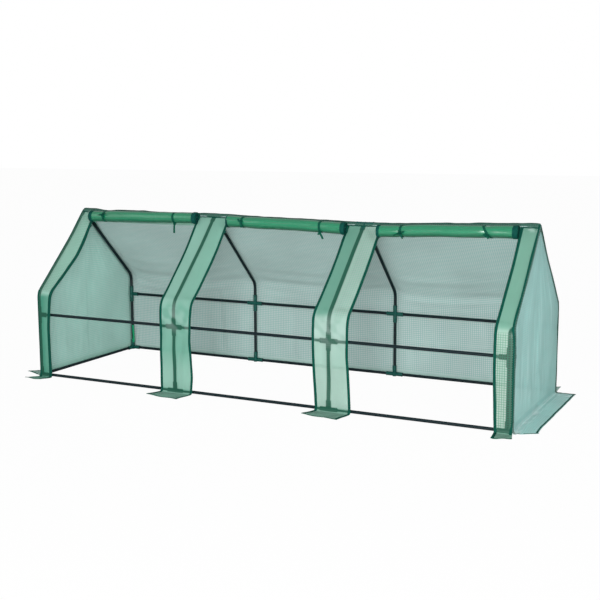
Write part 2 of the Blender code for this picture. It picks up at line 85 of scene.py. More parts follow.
BLEND_STEPS = 4001
BLEND_ROUNDS = 12


class Side(Enum):
    """The two long sides: the doors are in front."""

    FRONT = -1
    REAR = 1


class Knot(Enum):
    """How a tie is fastened: the knot's angle round the roll, the loop's slant, each tail's lean and drop."""

    SIDE_TAILS = (158, 0.003, ((-0.03, 0.001), (0.026, -0.008), (0.006, 0.024)))
    LONG_TAIL = (255, 0.003, ((-0.002, 0.052),))
    FORKED = (172, 0.003, ((-0.014, -0.016), (0.003, 0.03)))
    LOW = (232, 0.003, ((0.018, 0.034), (-0.006, 0.012)))
    CROSSED = (192, 0.003, ((-0.03, 0.012), (0.02, -0.012), (0.014, 0.026), (-0.004, -0.016)))
    SLANTED = (205, 0.02, ((0.012, 0.016), (-0.01, -0.006)))


def smoothstep(low: float, high: float, value: Points) -> Points:
    """Rises from 0 at low to 1 at high along 3t^2 - 2t^3, and is flat outside.

    Args:
        low: Where the rise starts.
        high: Where it ends; it may be the smaller of the two.
        value: The values to look up.

    Returns:
        The height at each value.
    """
    t = np.clip((value - low) / (high - low), 0.0, 1.0)
    return t * t * (3 - 2 * t)


def bump(centre: float, reach: float, value: Points) -> Points:
    """Is the bell exp(-((value - centre) / reach)^2).

    Args:
        centre: Where the bell is highest.
        reach: How wide it is.
        value: The values to look up.

    Returns:
        The height at each value.
    """
    return np.exp(-(((value - centre) / reach) ** 2))


def ripple(u: Points, v: Points, length: float, seed: int, waves: int = 7) -> Points:
    """Sums plane waves of unlike directions and lengths into an even, soft unrest of about -1 to 1.

    Args:
        u: First coordinate on the surface, in metres.
        v: Second coordinate, of the same shape.
        length: Mean wavelength.
        seed: Picks the directions and phases.
        waves: How many waves are summed.

    Returns:
        The height at each point.
    """
    pick = np.random.default_rng(seed)
    angles = pick.uniform(0, math.pi, waves)
    lengths = length * pick.uniform(0.6, 1.7, waves)
    phases = pick.uniform(0, math.tau, waves)
    run = u[..., None] * np.cos(angles) + v[..., None] * np.sin(angles)
    return np.sin(math.tau * run / lengths + phases).sum(-1) / math.sqrt(waves)


def stepped(places: tuple, heights: tuple, value: Points) -> Points:
    """Joins given heights by steps of 3t^2 - 2t^3 between neighbouring places.

    Args:
        places: Where the heights are, in rising order.
        heights: The heights there.
        value: The values to look up.

    Returns:
        The height at each value.
    """
    places, heights = np.array(places), np.array(heights)
    before = np.clip(np.searchsorted(places, value) - 1, 0, len(places) - 2)
    t = np.clip((value - places[before]) / (places[before + 1] - places[before]), 0, 1)
    return heights[before] + (heights[before + 1] - heights[before]) * t * t * (3 - 2 * t)


def unit(vectors: Points) -> Points:
    """Scales each vector to length 1."""
    return vectors / np.maximum(np.linalg.norm(vectors, axis=-1, keepdims=True), 1e-12)


def normals(points: Points) -> Points:
    """Gives the unit normals of a surface, as the cross product of its steps along rows and columns."""
    return unit(np.cross(np.gradient(points, axis=1), np.gradient(points, axis=0)))


def arc_length(points: Points) -> Points:
    """Gives the distance along a line of points, from its first."""
    steps = np.linalg.norm(np.diff(points, axis=0), axis=-1)
    return np.concatenate([[0.0], np.cumsum(steps)])


def resample(points: Points, count: int) -> Points:
    """Spreads a number of points evenly along a line.

    Args:
        points: The line's points, one a row.
        count: How many points to return.

    Returns:
        The new points, one a row.
    """
    along = arc_length(points)
    wanted = np.linspace(0, along[-1], count)
    return np.stack([np.interp(wanted, along, column) for column in points.T], axis=-1)


def rounded_line(corners: list[Pair], radii: list[float], spacing: float) -> Points:
    """Follows straight lines between corners, with each inner corner rounded by a tangent arc.

    Args:
        corners: The (y, z) corners.
        radii: One radius for each inner corner.
        spacing: The distance between the returned points.

    Returns:
        Evenly spaced (y, z) points.
    """
    points = [np.array(corners[0], float)[None]]
    for before, corner, after, radius in zip(corners, corners[1:], corners[2:], radii):
        arriving = unit(np.subtract(corner, before))
        leaving = unit(np.subtract(after, corner))
        turn = math.atan2(arriving[0] * leaving[1] - arriving[1] * leaving[0], arriving @ leaving)
        trim = radius * math.tan(abs(turn) / 2)
        start = np.array(corner) - arriving * trim
        angle = turn * np.linspace(0, 1, 17)
        across = np.array([-arriving[1], arriving[0]]) * math.copysign(radius, turn)
        swept = np.sin(np.abs(angle))[:, None] * arriving * radius
        points.append(start + swept + (1 - np.cos(angle))[:, None] * across)
    points.append(np.array(corners[-1], float)[None])
    line = np.concatenate(points)
    return resample(line, max(8, round(arc_length(line)[-1] / spacing) + 1))


@dataclass
class Shape:
    """A mesh put together from closed pieces, with UV coordinates in metres.

    Each point also keeps three marks for its finish: its gap, the distance from the nearest tube's centre
    line, which sets the painted shade of a tube behind the sheet; how much of a second layer lies behind it,
    which also carries painted shade; and how white its creases have gone, which also carries painted
    highlights.
    """

    points: list[Points] = field(default_factory=list)
    faces: list[Points] = field(default_factory=list)
    coordinates: list[Points] = field(default_factory=list)
    marks: list[Points] = field(default_factory=list)
    count: int = 0

    def add(self, points: Points, faces: Points, coordinates: Points,
            marks: Points | tuple = UNMARKED) -> None:
        """Adds faces that share one number of corners.

        Args:
            points: One point a row; their numbers go on from those already here.
            faces: Corner numbers within points, one face a row.
            coordinates: UV of each face's corners.
            marks: The marks of all points, or of each.
        """
        self.points.append(points.reshape(-1, 3))
        self.faces.append(faces + self.count)
        self.coordinates.append(coordinates.reshape(-1, 2))
        self.marks.append(np.broadcast_to(marks, (points.size // 3, len(UNMARKED))))
        self.count += points.size // 3

    def sheet(self, middle: Points, uv: Points, thickness: Points | float, gap: Points | float = 1.0,
              layer: Points | float = 0.0, crease: Points | float = 0.0,
              out: Points | None = None) -> "Shape":
        """Adds the closed solid at half its thickness on both sides of a surface.

        Args:
            middle: Points of the surface on a grid of rows and columns.
            uv: Their UV coordinates on the same grid.
            thickness: One thickness, or one for each point.
            gap: One gap for all points, or one for each; it sets the painted shade of a tube behind the
                sheet, and it is kept for the outer face alone.
            layer: How much of a second layer lies behind them, together with painted shade.
            crease: How white their creases have gone, together with painted highlights.
            out: The direction of the thickness, where it isn't the surface's own normal.

        Returns:
            This shape, for the next call.
        """
        rows, columns = middle.shape[:2]
        if out is None:
            out = normals(middle)
        half = np.broadcast_to(np.asarray(thickness) / 2, (rows, columns))[..., None] * out
        both = np.stack([middle + half, middle - half]).reshape(-1, 3)
        corner = np.arange((rows - 1) * columns).reshape(rows - 1, columns)[:, :-1].ravel()
        front = np.stack([corner, corner + 1, corner + columns + 1, corner + columns], axis=1)
        back = front[:, ::-1] + rows * columns
        last = (rows - 1) * columns
        rim = np.concatenate([np.arange(columns), np.arange(1, rows) * columns + columns - 1,
                              last + np.arange(columns - 2, -1, -1), np.arange(rows - 2, 0, -1) * columns])
        after = np.roll(rim, -1)
        edge = np.stack([rim, rim + rows * columns, after + rows * columns, after], axis=1)
        faces = np.concatenate([front, back, edge])
        flat = np.concatenate([uv.reshape(-1, 2)] * 2)
        marks = [np.broadcast_to(mark, (rows, columns)).ravel() for mark in (gap, layer, crease)]
        seen = np.stack(marks, axis=1)
        hidden = seen.copy()
        hidden[:, 0] = UNMARKED[0]
        outward = ((middle - INSIDE) * out).sum() > 0
        self.add(both, faces, flat[faces], np.concatenate([seen, hidden] if outward else [hidden, seen]))
        return self

    def sweep(self, path: Points, across: Points, section: Points, scale: Points | float = 1.0,
              closed: bool = False) -> "Shape":
        """Carries a closed outline along a path, square to it.

        Args:
            path: Points of the path, one a row.
            across: The outline's first direction, one for all or one for each point.
            section: The outline's (across, out) points, counter-clockwise.
            scale: The outline's size at each point of the path.
            closed: Joins the path's end to its start.

        Returns:
            This shape, for the next call.
        """
        if closed:
            along = np.roll(path, -1, axis=0) - np.roll(path, 1, axis=0)
        else:
            along = np.gradient(path, axis=0)
        along = unit(along)
        across = np.broadcast_to(across, path.shape)
        across = unit(across - (across * along).sum(-1, keepdims=True) * along)
        out = np.cross(along, across)
        scale = np.broadcast_to(scale, len(path))[:, None, None]
        sized = section[None] * scale
        grid = path[:, None] + sized[..., :1] * across[:, None] + sized[..., 1:] * out[:, None]
        rows, columns = grid.shape[:2]
        steps = np.arange(rows if closed else rows - 1)
        row, column = np.meshgrid(steps, np.arange(columns), indexing="ij")
        corner_rows = np.stack([row, row, row + 1, row + 1], axis=-1).reshape(-1, 4)
        corner_columns = np.stack([column, column + 1, column + 1, column], axis=-1).reshape(-1, 4)
        faces = corner_rows % rows * columns + corner_columns % columns
        around = arc_length(np.concatenate([section, section[:1]]))
        lengths = arc_length(np.concatenate([path, path[:1]]))
        uv = np.stack([around[corner_columns], lengths[corner_rows]], axis=-1)
        self.add(grid, faces, uv)
        if not closed:
            start = self.count - grid.size // 3
            for ring in (np.arange(columns)[::-1], (rows - 1) * columns + np.arange(columns)):
                self.faces.append((ring + start)[None])
                self.coordinates.append(section[ring % columns])
        return self

    def build(self, name: str, finish: "Finish", rides_on: str | None = ROOT,
              stands_for: tuple[str, ...] = (), sharp: float = 40.0) -> Piece:
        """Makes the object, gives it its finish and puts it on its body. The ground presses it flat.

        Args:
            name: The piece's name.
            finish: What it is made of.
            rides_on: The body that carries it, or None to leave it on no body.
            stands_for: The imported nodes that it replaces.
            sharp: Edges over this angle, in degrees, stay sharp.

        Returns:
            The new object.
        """
        mesh = bpy.data.meshes.new(name)
        faces = [corners for block in self.faces for corners in block.tolist()]
        points = np.concatenate(self.points)
        points[:, 2] = np.maximum(points[:, 2], 0.0)
        mesh.from_pydata(points.tolist(), [], faces)
        uv = mesh.uv_layers.new(name="UVMap").uv
        uv.foreach_set("vector", np.concatenate(self.coordinates).astype(np.float32).ravel())
        work = bmesh.new()
        work.from_mesh(mesh)
        bmesh.ops.recalc_face_normals(work, faces=work.faces)
        work.to_mesh(mesh)
        work.free()
        for mark, values in zip(MARKS, np.concatenate(self.marks).T):
            kept = mesh.attributes.new(mark, "FLOAT", "POINT").data
            kept.foreach_set("value", values.astype(np.float32))
        mesh.shade_smooth()
        mesh.set_sharp_from_angle(angle=math.radians(sharp))
        made = bpy.data.objects.new(name, mesh)
        bpy.context.scene.collection.objects.link(made)
        mesh.materials.append(finish.material())
        if rides_on:
            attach(made, rides_on)
        if stands_for:
            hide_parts(*stands_for)
        LOG.info("%s: %d faces", name, len(mesh.polygons))
        return made


def circle(radius: float, sides: int) -> Points:
    """Gives a circle's outline for a sweep."""
    angle = np.linspace(0, math.tau, sides, endpoint=False)
    return radius * np.stack([np.cos(angle), np.sin(angle)], axis=1)


def tape_outline(width: float, thickness: float, sides: int = 5) -> Points:
    """Gives a flat outline with round edges for a sweep.

    Args:
        width: The tape's width.
        thickness: Its thickness.
        sides: Points in each round edge.

    Returns:
        The outline's (across, out) points, counter-clockwise.
    """
    angle = np.linspace(-math.pi / 2, math.pi / 2, sides)
    half = thickness / 2
    right = np.stack([width / 2 - half + half * np.cos(angle), half * np.sin(angle)], axis=1)
    return np.concatenate([right, -right])


class Tree:
    """The nodes of a material or a world, made a call at a time."""

    def __init__(self, owner: Material | bpy.types.World) -> None:
        """Clears the owner's nodes.

        Args:
            owner: The material or world.
        """
        self.owner = owner
        owner.use_nodes = True
        self.nodes = owner.node_tree.nodes
        self.nodes.clear()

    def add(self, kind: str, inputs: dict | None = None, **settings: object) -> bpy.types.Node:
        """Adds a node.

        Args:
            kind: The node's type, without its ShaderNode prefix.
            inputs: What each socket, by name or number, is set to or fed from.
            **settings: The node's own properties.

        Returns:
            The node.
        """
        node = self.nodes.new("ShaderNode" + kind)
        for key, value in settings.items():
            setattr(node, key, value)
        for key, value in (inputs or {}).items():
            if isinstance(value, Socket):
                self.owner.node_tree.links.new(value, node.inputs[key])
            else:
                node.inputs[key].default_value = value
        return node

    def math(self, operation: str, *values: object) -> Socket:
        """Adds a Math node and returns its result."""
        return self.add("Math", dict(enumerate(values)), operation=operation).outputs[0]

    def blend_colours(self, share: object, first: object, second: object) -> Socket:
        """Adds a Mix node for two colours and returns its result."""
        return self.add("Mix", {0: share, 6: first, 7: second}, data_type="RGBA").outputs[2]

    def noise(self, place: object, scale: float, detail: float = 3.0) -> Socket:
        """Adds a Noise Texture and returns its height."""
        return self.add("TexNoise", {"Vector": place, "Scale": scale, "Detail": detail}).outputs["Fac"]

    def spread(self, value: object, low: float, high: float, to_low: float, to_high: float) -> Socket:
        """Adds a smooth Map Range and returns its result."""
        numbers = {0: value, 1: low, 2: high, 3: to_low, 4: to_high}
        return self.add("MapRange", numbers, interpolation_type="SMOOTHSTEP").outputs[0]

    def mark(self, name: str) -> Socket:
        """Reads one of the marks that a shape keeps for its points."""
        return self.add("Attribute", attribute_name=name).outputs["Fac"]

    def wave(self, along: object, pitch: float) -> Socket:
        """Adds a sine wave of a given pitch."""
        return self.math("SINE", self.math("MULTIPLY", along, math.tau / pitch))

    def net(self, place: object, cell: float, line_share: float) -> Socket:
        """Adds the net of threads: each cell's edges rise to 1 in both directions, and its middle is 0.

        Args:
            place: The UV coordinates.
            cell: The width of a cell.
            line_share: The share of a cell that its threads take.

        Returns:
            The height of the net.
        """
        split = self.add("SeparateXYZ", {0: place})
        lines = []
        for axis in ("X", "Y"):
            cells = self.math("FRACT", self.math("DIVIDE", split.outputs[axis], cell))
            off = self.math("ABSOLUTE", self.math("SUBTRACT", cells, 0.5))
            lines.append(self.spread(off, 0.5 - line_share / 2, 0.5, 0.0, 1.0))
        return self.math("MAXIMUM", *lines)

    def relief(self, height: object, strength: float, distance: float) -> Socket:
        """Adds a Bump node and returns its normal."""
        return self.add("Bump", {"Height": height, "Strength": strength, "Distance": distance}).outputs[0]

    def gloss(self, paint: object, matt: object, relief: object, specular: float) -> Material:
        """Shows a plain opaque surface and returns the finished material."""
        sockets = {"Base Color": paint, "Roughness": matt, "Normal": relief, "Specular IOR Level": specular}
        return self.show(self.add("BsdfPrincipled", sockets).outputs[0])

    def show(self, shader: Socket) -> Material:
        """Shows a shader and returns the finished material."""
        self.add("OutputMaterial", {"Surface": shader})
        return self.owner


def colour(red: float, green: float, blue: float) -> tuple[float, float, float, float]:
    """Makes a linear colour of three values as seen on a screen.

    Args:
        red: Red, out of 255.
        green: Green.
        blue: Blue.

    Returns:
        The linear colour with an alpha of 1.
    """
    seen = np.array([red, green, blue]) / 255
    linear = np.where(seen <= 0.04045, seen / 12.92, ((seen + 0.055) / 1.055) ** 2.4)
    return (*linear.tolist(), 1.0)


def scaled(base: tuple, factor: float, lift: float = 0.0) -> tuple:
    """Makes a colour lighter or darker: each channel times a factor, plus a lift, up to 1."""
    return (*(min(1.0, factor * channel + lift) for channel in base[:3]), 1.0)


@dataclass(frozen=True)
class Finish:
    """What a piece is made of. Each finish makes its material once."""

    name: str
    slot: str

    def material(self) -> Material:
        """Returns the material, made on its first use."""
        found = bpy.data.materials.get(self.name)
        return found or self.make(Tree(bpy.data.materials.new(self.name)))

    def make(self, tree: Tree) -> Material:
        """Builds the material.

        Args:
            tree: The material's empty node tree.

        Returns:
            The material.
        """
        raise NotImplementedError


@dataclass(frozen=True)
class WovenSheet(Finish):
    """Coated woven sheet: a translucent film on a fine net of threads."""

    film: tuple
    thread: tuple
    film_cover: float = 0.44
    thread_cover: float = 0.84
    glow: float = 0.4
    roughness: float = 0.42
    touching: Pair = (0.0156, 0.0186)
    cell: float = 0.011
    line_share: float = 0.5
    shade: float = 0.05
    touched_cover: float = 0.3
    second_cover: float = 0.35

    def make(self, tree: Tree) -> Material:
        """Builds the material: a grid of threads on UV, a finer weave as relief, and soft cloudiness.

        Where the sheet touches a tube it gets painted shade: the dark of the tube behind it is painted on,
        and the same dark paints the bound edges of a door's sheet. Over a second layer it is denser and
        greener, as it is where the same mark paints shade, and along sharp creases it has gone white, which
        also paints highlights.

        Args:
            tree: The material's empty node tree.

        Returns:
            The material.
        """
        place = tree.add("TexCoord").outputs["UV"]
        net = tree.net(place, self.cell, self.line_share)
        second = tree.mark("second_layer")
        crease = tree.mark("white_crease")
        # painted shade: where the sheet touches a tube, the dark of the tube behind it is painted on; on a
        # door's sheet the same mark paints its bound edges
        tube_shade_and_tape_mask = tree.spread(tree.mark("tube_gap"), *self.touching, 1.0, 0.0)
        grid = tree.math("MULTIPLY", net, tree.spread(second, 0.0, 0.5, 1.0, 0.0))
        cloud = tree.spread(tree.noise(place, 3.1), 0.3, 0.7, 1 - self.shade, 1 + self.shade)
        grey = tree.add("CombineXYZ", {0: cloud, 1: cloud, 2: cloud}).outputs[0]
        worn = tree.blend_colours(grid, self.film, self.thread)
        tint = tree.add("Mix", {0: 1.0, 6: worn, 7: grey}, data_type="RGBA", blend_type="MULTIPLY")
        dark = tree.math("MULTIPLY", tube_shade_and_tape_mask, tree.spread(grid, 0.0, 1.0, 0.97, 0.78))
        # darker and greener over a second layer, and where the same mark paints shade
        paint = tree.blend_colours(tree.math("MULTIPLY", second, 0.85), tint.outputs[2], SECOND_LAYER_AND_SHADE)
        # painted shade of the tube behind, in a dark colour
        paint = tree.blend_colours(dark, paint, TUBE_SHADE_AND_TAPE)
        # whitened creases, and painted highlights on the right end's skirt fold, rear corner and streaks
        paint = tree.blend_colours(tree.math("MULTIPLY", crease, 0.8), paint, WHITE_CREASE_AND_HIGHLIGHT)
        split = tree.add("SeparateXYZ", {0: place}).outputs
        weft = tree.math("MULTIPLY", *(tree.wave(split[axis], WEFT_PITCH) for axis in ("X", "Y")))
        relief = tree.relief(tree.math("ADD", grid, tree.math("MULTIPLY", weft, 0.35)), 0.25, 0.0004)
        matt = tree.spread(tree.noise(place, 14.0), 0.3, 0.7, self.roughness - 0.08, self.roughness + 0.08)
        film = tree.add("BsdfPrincipled", {"Base Color": paint, "Roughness": matt, "Normal": relief,
                                           "IOR": 1.5}).outputs[0]
        glow = tree.add("BsdfTranslucent", {"Color": paint, "Normal": relief}).outputs[0]
        solid = tree.add("MixShader", {0: self.glow, 1: film, 2: glow}).outputs[0]
        clear = tree.add("BsdfTransparent").outputs[0]
        cover = self.film_cover
        for share, denser in ((grid, self.thread_cover - self.film_cover), (tube_shade_and_tape_mask, self.touched_cover),
                              (second, self.second_cover), (crease, self.second_cover)):
            cover = tree.math("ADD", cover, tree.math("MULTIPLY", share, denser))
        return tree.show(tree.add("MixShader", {0: cover, 1: clear, 2: solid}).outputs[0])


@dataclass(frozen=True)
class RolledSheet(Finish):
    """The same sheet wound in many layers, so that it is dense, saturated and shows no light behind."""

    base: tuple
    thread: tuple
    roughness: float = 0.24
    cell: float = 0.011
    line_share: float = 0.28

    def make(self, tree: Tree) -> Material:
        """Builds the material: threads on UV, lengthwise creases as relief with painted shade in them, and
        patchy gloss.

        The roll's underside gets painted shade: it is darker where its shading mark is set.

        Args:
            tree: The material's empty node tree.

        Returns:
            The material.
        """
        place = tree.add("TexCoord").outputs["UV"]
        grid = tree.net(place, self.cell, self.line_share)
        stretched = tree.add("Mapping", {"Vector": place, "Scale": (5.0, 90.0, 1.0)}).outputs[0]
        crease = tree.noise(stretched, 1.0, 4.0)
        # painted shade: the lengthwise creases are painted darker
        dark = tree.spread(crease, 0.35, 0.75, 0.0, 0.4)
        worn = tree.blend_colours(tree.math("MULTIPLY", grid, 0.22), self.base, self.thread)
        deep = scaled(self.base, 0.5)
        paint = tree.blend_colours(dark, worn, deep)
        # painted shade: the roll's underside is painted darker
        paint = tree.blend_colours(tree.mark("second_layer"), paint, deep)
        relief = tree.relief(tree.math("ADD", crease, tree.math("MULTIPLY", grid, 0.06)), 0.35, 0.0012)
        matt = tree.spread(crease, 0.3, 0.7, self.roughness - 0.06, self.roughness + 0.12)
        return tree.gloss(paint, matt, relief, 0.8)


@dataclass(frozen=True)
class WovenTape(Finish):
    """Binding and zip tape: a dark ribbed weave."""

    base: tuple
    rib: float = 0.0016

    def make(self, tree: Tree) -> Material:
        """Builds the material: ribs across the tape on UV, with a little fading.

        Args:
            tree: The material's empty node tree.

        Returns:
            The material.
        """
        place = tree.add("TexCoord").outputs["UV"]
        split = tree.add("SeparateXYZ", {0: place}).outputs
        ribs = tree.wave(split["Y"], self.rib)
        warp = tree.wave(split["X"], WARP_PITCH)
        fade = tree.spread(tree.noise(place, 40.0), 0.3, 0.75, 0.0, 0.3)
        paint = tree.blend_colours(fade, self.base, scaled(self.base, 1.7, 0.004))
        relief = tree.relief(tree.math("ADD", ribs, tree.math("MULTIPLY", warp, 0.5)), 0.4, 0.0003)
        return tree.gloss(paint, 0.7, relief, 0.1)


@dataclass(frozen=True)
class CoatedTube(Finish):
    """Powder-coated steel tube, satin, with fine orange peel and faint scuffs."""

    base: tuple
    scuffed: tuple

    def make(self, tree: Tree) -> Material:
        """Builds the material on Object coordinates, because tubes have no seam that shows.

        Args:
            tree: The material's empty node tree.

        Returns:
            The material.
        """
        place = tree.add("TexCoord").outputs["Object"]
        peel = tree.noise(place, 900.0, 2.0)
        scuff = tree.spread(tree.noise(place, 38.0, 6.0), 0.6, 0.8, 0.0, 0.5)
        paint = tree.blend_colours(scuff, self.base, self.scuffed)
        matt = tree.spread(tree.noise(place, 60.0), 0.3, 0.7, 0.38, 0.52)
        return tree.gloss(paint, matt, tree.relief(peel, 0.12, 0.0002), 0.18)


@dataclass(frozen=True)
class MouldedPlastic(Finish):
    """Moulded plastic with a fine grain."""

    base: tuple
    roughness: float = 0.42

    def make(self, tree: Tree) -> Material:
        """Builds the material on Object coordinates: a grain as relief and faded patches.

        Args:
            tree: The material's empty node tree.

        Returns:
            The material.
        """
        place = tree.add("TexCoord").outputs["Object"]
        grain = tree.noise(place, 700.0, 2.0)
        patch = tree.spread(tree.noise(place, 55.0), 0.35, 0.7, 0.0, 0.5)
        paint = tree.blend_colours(patch, self.base, scaled(self.base, 1.35, 0.004))
        matt = tree.spread(patch, 0.0, 0.5, self.roughness - 0.06, self.roughness + 0.06)
        return tree.gloss(paint, matt, tree.relief(grain, 0.15, 0.0002), 0.22)


# dark colour painted on the cover for a tube behind it, as painted shade; it also colours the bound edges of
# a door's sheet
TUBE_SHADE_AND_TAPE = colour(22, 90, 70)
# colour of a second layer behind the cover, also used as painted shade
SECOND_LAYER_AND_SHADE = colour(62, 154, 128)
# white of creased cloth, also used for painted highlights
WHITE_CREASE_AND_HIGHLIGHT = colour(226, 236, 236)
COVER = WovenSheet("woven_cover", "cover_cloth", colour(206, 242, 229), colour(92, 160, 134))
# painted light: the cover is one cloth, and these copies have colours set panel by panel for the light each
# panel gets; pier 3's copy is paler and greyer for its sheen
PALE_COVER = WovenSheet("woven_cover_pale", "cover_cloth", colour(204, 226, 216), colour(112, 168, 148),
                        thread_cover=0.8)
NET_COVER = WovenSheet("woven_cover_net", "cover_cloth", colour(204, 230, 216), colour(62, 132, 104),
                       thread_cover=0.86)
REAR_COVER = WovenSheet("woven_cover_rear", "cover_cloth", colour(222, 238, 237), colour(98, 158, 148), 0.48,
                        0.86, 0.35, touching=(0.0138, 0.0152))
LEFT_END_COVER = WovenSheet("woven_cover_left_end", "cover_cloth", colour(204, 236, 228),
                            colour(116, 186, 172), 0.54, 0.82, 0.35, touching=(0.0146, 0.0162))
# lit copy: the right end's cloth is painted lighter for the light that falls on it
LIT_END_COVER = WovenSheet("woven_cover_end", "cover_cloth", colour(222, 254, 252), colour(134, 206, 198), 0.54,
                       0.82, 0.35, touching=(0.0146, 0.0162))
DOOR_CLOTH = WovenSheet("woven_door", "door_cloth", colour(70, 150, 116), colour(50, 126, 94), 0.6, 0.8)
ROLL = RolledSheet("rolled_door", "door_cloth", colour(20, 118, 82), colour(14, 90, 64))
TAPE = WovenTape("dark_green_tape", "zip_plastic", colour(1, 64, 52))
TIE_TAPE = WovenTape("tie_tape", "zip_plastic", colour(2, 68, 52))
ROLL_TAPE = WovenTape("roll_binding_tape", "zip_plastic", colour(1, 62, 54))
# near-black, painted shade for the hollow inside a roll's end
ROLL_END_SHADE = WovenTape("roll_end_cloth", "door_cloth", colour(0, 40, 40))
STRAP = WovenTape("green_strap", "door_cloth", colour(20, 128, 88))
STEEL = CoatedTube("coated_tube", "tube_steel", colour(8, 25, 29), colour(30, 50, 52))
FITTING = MouldedPlastic("green_fitting", "connector_plastic", colour(6, 68, 60))
ZIP_COIL = MouldedPlastic("zip_coil", "zip_plastic", colour(2, 66, 52), 0.5)
ZIP_PULL = MouldedPlastic("zip_pull", "zip_plastic", colour(6, 56, 48), 0.35)


def middle_of(node: str) -> Vector:
    """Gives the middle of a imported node's box."""
    low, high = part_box(node)
    return (low + high) / 2


@dataclass
class Skeleton:
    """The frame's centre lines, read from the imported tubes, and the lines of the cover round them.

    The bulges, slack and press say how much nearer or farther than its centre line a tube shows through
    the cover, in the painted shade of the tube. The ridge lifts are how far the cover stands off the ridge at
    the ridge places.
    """

    knee: float = 0.474
    knee_radius: float = 0.07
    cover_offset: float = 0.0131
    skirt_radius: float = 0.012
    ridge_fold_radius: float = 0.01
    strip_width: float = 0.02
    seam_gap: float = 0.0003
    ground: float = 0.0006
    corner_round: float = 0.0042
    gable_slack: float = 0.009
    skirt: float = 0.116
    end_skirt: float = 0.104
    thickness: float = 0.0009
    roll_clearance: float = 0.011
    fitting_reach: float = 0.048
    fitting_bulge: float = 0.0034
    rail_slack: float = 0.0016
    ridge_press: float = 0.0022
    hoop_bulge: float = 0.0022
    ridge_places: tuple = (-1.34, -1.27, -1.18, -1.1, -0.93, -0.86, -0.447, -0.1, 0.05, 0.447, 0.62, 0.9,
                           1.1, 1.34)
    ridge_lifts: tuple = (0.018, 0.017, 0.009, 0.013, 0.014, 0.01, 0.012, 0.003, 0.001, -0.006, -0.005,
                          0.005, 0.012, 0.018)
    lift_reach: float = 0.17
    pack_crease: float = 0.2
    pack_crease_width: float = 0.006
    hoops: list[float] = field(init=False)
    half_depth: float = field(init=False)
    lower: float = field(init=False)
    mid: float = field(init=False)
    ridge: float = field(init=False)

    def __post_init__(self) -> None:
        """Reads the places of the tubes."""
        self.hoops = [middle_of(f"rear_rafter_{number}").x for number in range(1, 5)]
        self.half_depth = middle_of("rear_lower_rail_1").y
        self.lower = middle_of("rear_lower_rail_1").z
        self.mid = middle_of("rear_mid_rail_1").z
        self.ridge = middle_of("ridge_rail_1").z

    def doorway(self, bay: int) -> Pair:
        """Gives the X of a door's two zips, counted from bay 1."""
        low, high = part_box(f"door_roll_{bay}")
        return low.x - self.roll_clearance, high.x + self.roll_clearance

    def pier_edges(self, hoop: int) -> Pair:
        """Gives the X of the two edges of a pier.

        Args:
            hoop: The hoop that it stands in front of, counted from 1.

        Returns:
            The left edge and the right one.
        """
        left = -self.cover_end if hoop == 1 else self.doorway(hoop - 1)[1]
        right = self.cover_end if hoop == len(self.hoops) else self.doorway(hoop)[0]
        return left, right

    @property
    def slope(self) -> Pair:
        """Gives how far the roof runs out and falls for each metre of its length."""
        length = math.hypot(self.half_depth, self.ridge - self.knee)
        return self.half_depth / length, (self.ridge - self.knee) / length

    @property
    def cover_end(self) -> float:
        """Gives the X of the end panels' outer face."""
        return self.hoops[-1] + self.cover_offset

    @property
    def on_ground(self) -> float:
        """Gives the height of a sheet's middle surface where the sheet lies on the ground."""
        return self.thickness / 2 + 0.0001

    def on_slope(self, side: Side, drop: float, offset: float) -> Pair:
        """Gives (y, z) at a distance down the roof and an offset out from its tubes."""
        run, fall = self.slope
        return side.value * (run * drop + fall * offset), self.ridge - fall * drop + run * offset

    def cover_knee(self, side: Side) -> Pair:
        """Gives where the cover's slope would meet its wall.

        Args:
            side: Front or rear.

        Returns:
            The (y, z) of that corner.
        """
        run, fall = self.slope
        reach = self.half_depth + self.cover_offset
        return side.value * reach, self.on_slope(side, (reach - fall * self.cover_offset) / run,
                                                 self.cover_offset)[1]

    def tube_gap(self, points: Points) -> Points:
        """Gives the distance of each point from the nearest tube's centre line, which sets the painted shade
        of the tube on the cover.

        A rail's line runs along X. A hoop's line is its post and rafter in the (|y|, z) plane, whose
        distance joins with the distance along X as the sides of a right angle do.

        Args:
            points: Points on a grid.

        Returns:
            One distance for each point.
        """
        y, z = np.abs(points[..., 1]), points[..., 2]
        aside = np.abs(points[..., :1] - np.array(self.hoops)).min(-1)
        fitting = self.fitting_bulge * (aside < self.fitting_reach)
        lower, mid, ridge = (np.hypot(y - rail_y, z - rail_z) for rail_y, rail_z in (
            (self.half_depth, self.lower), (self.half_depth, self.mid), (0.0, self.ridge)))
        near = np.minimum(np.minimum(lower, mid) + self.rail_slack - fitting,
                          ridge - self.ridge_press - fitting)
        corners = [(self.half_depth, self.lower), (self.half_depth, self.knee), (0.0, self.ridge)]
        hoop = rounded_line(corners, [self.knee_radius], 0.016)
        start, step = hoop[:-1], np.diff(hoop, axis=0)
        place = np.stack([y, z], axis=-1)[..., None, :] - start
        share = np.clip((place * step).sum(-1) / (step**2).sum(-1), 0, 1)
        profile = np.linalg.norm(place - share[..., None] * step, axis=-1).min(-1)
        at_fitting = np.minimum(np.minimum(lower, mid), ridge) < self.fitting_reach
        return np.minimum(near, np.hypot(profile, aside) - self.hoop_bulge * at_fitting)

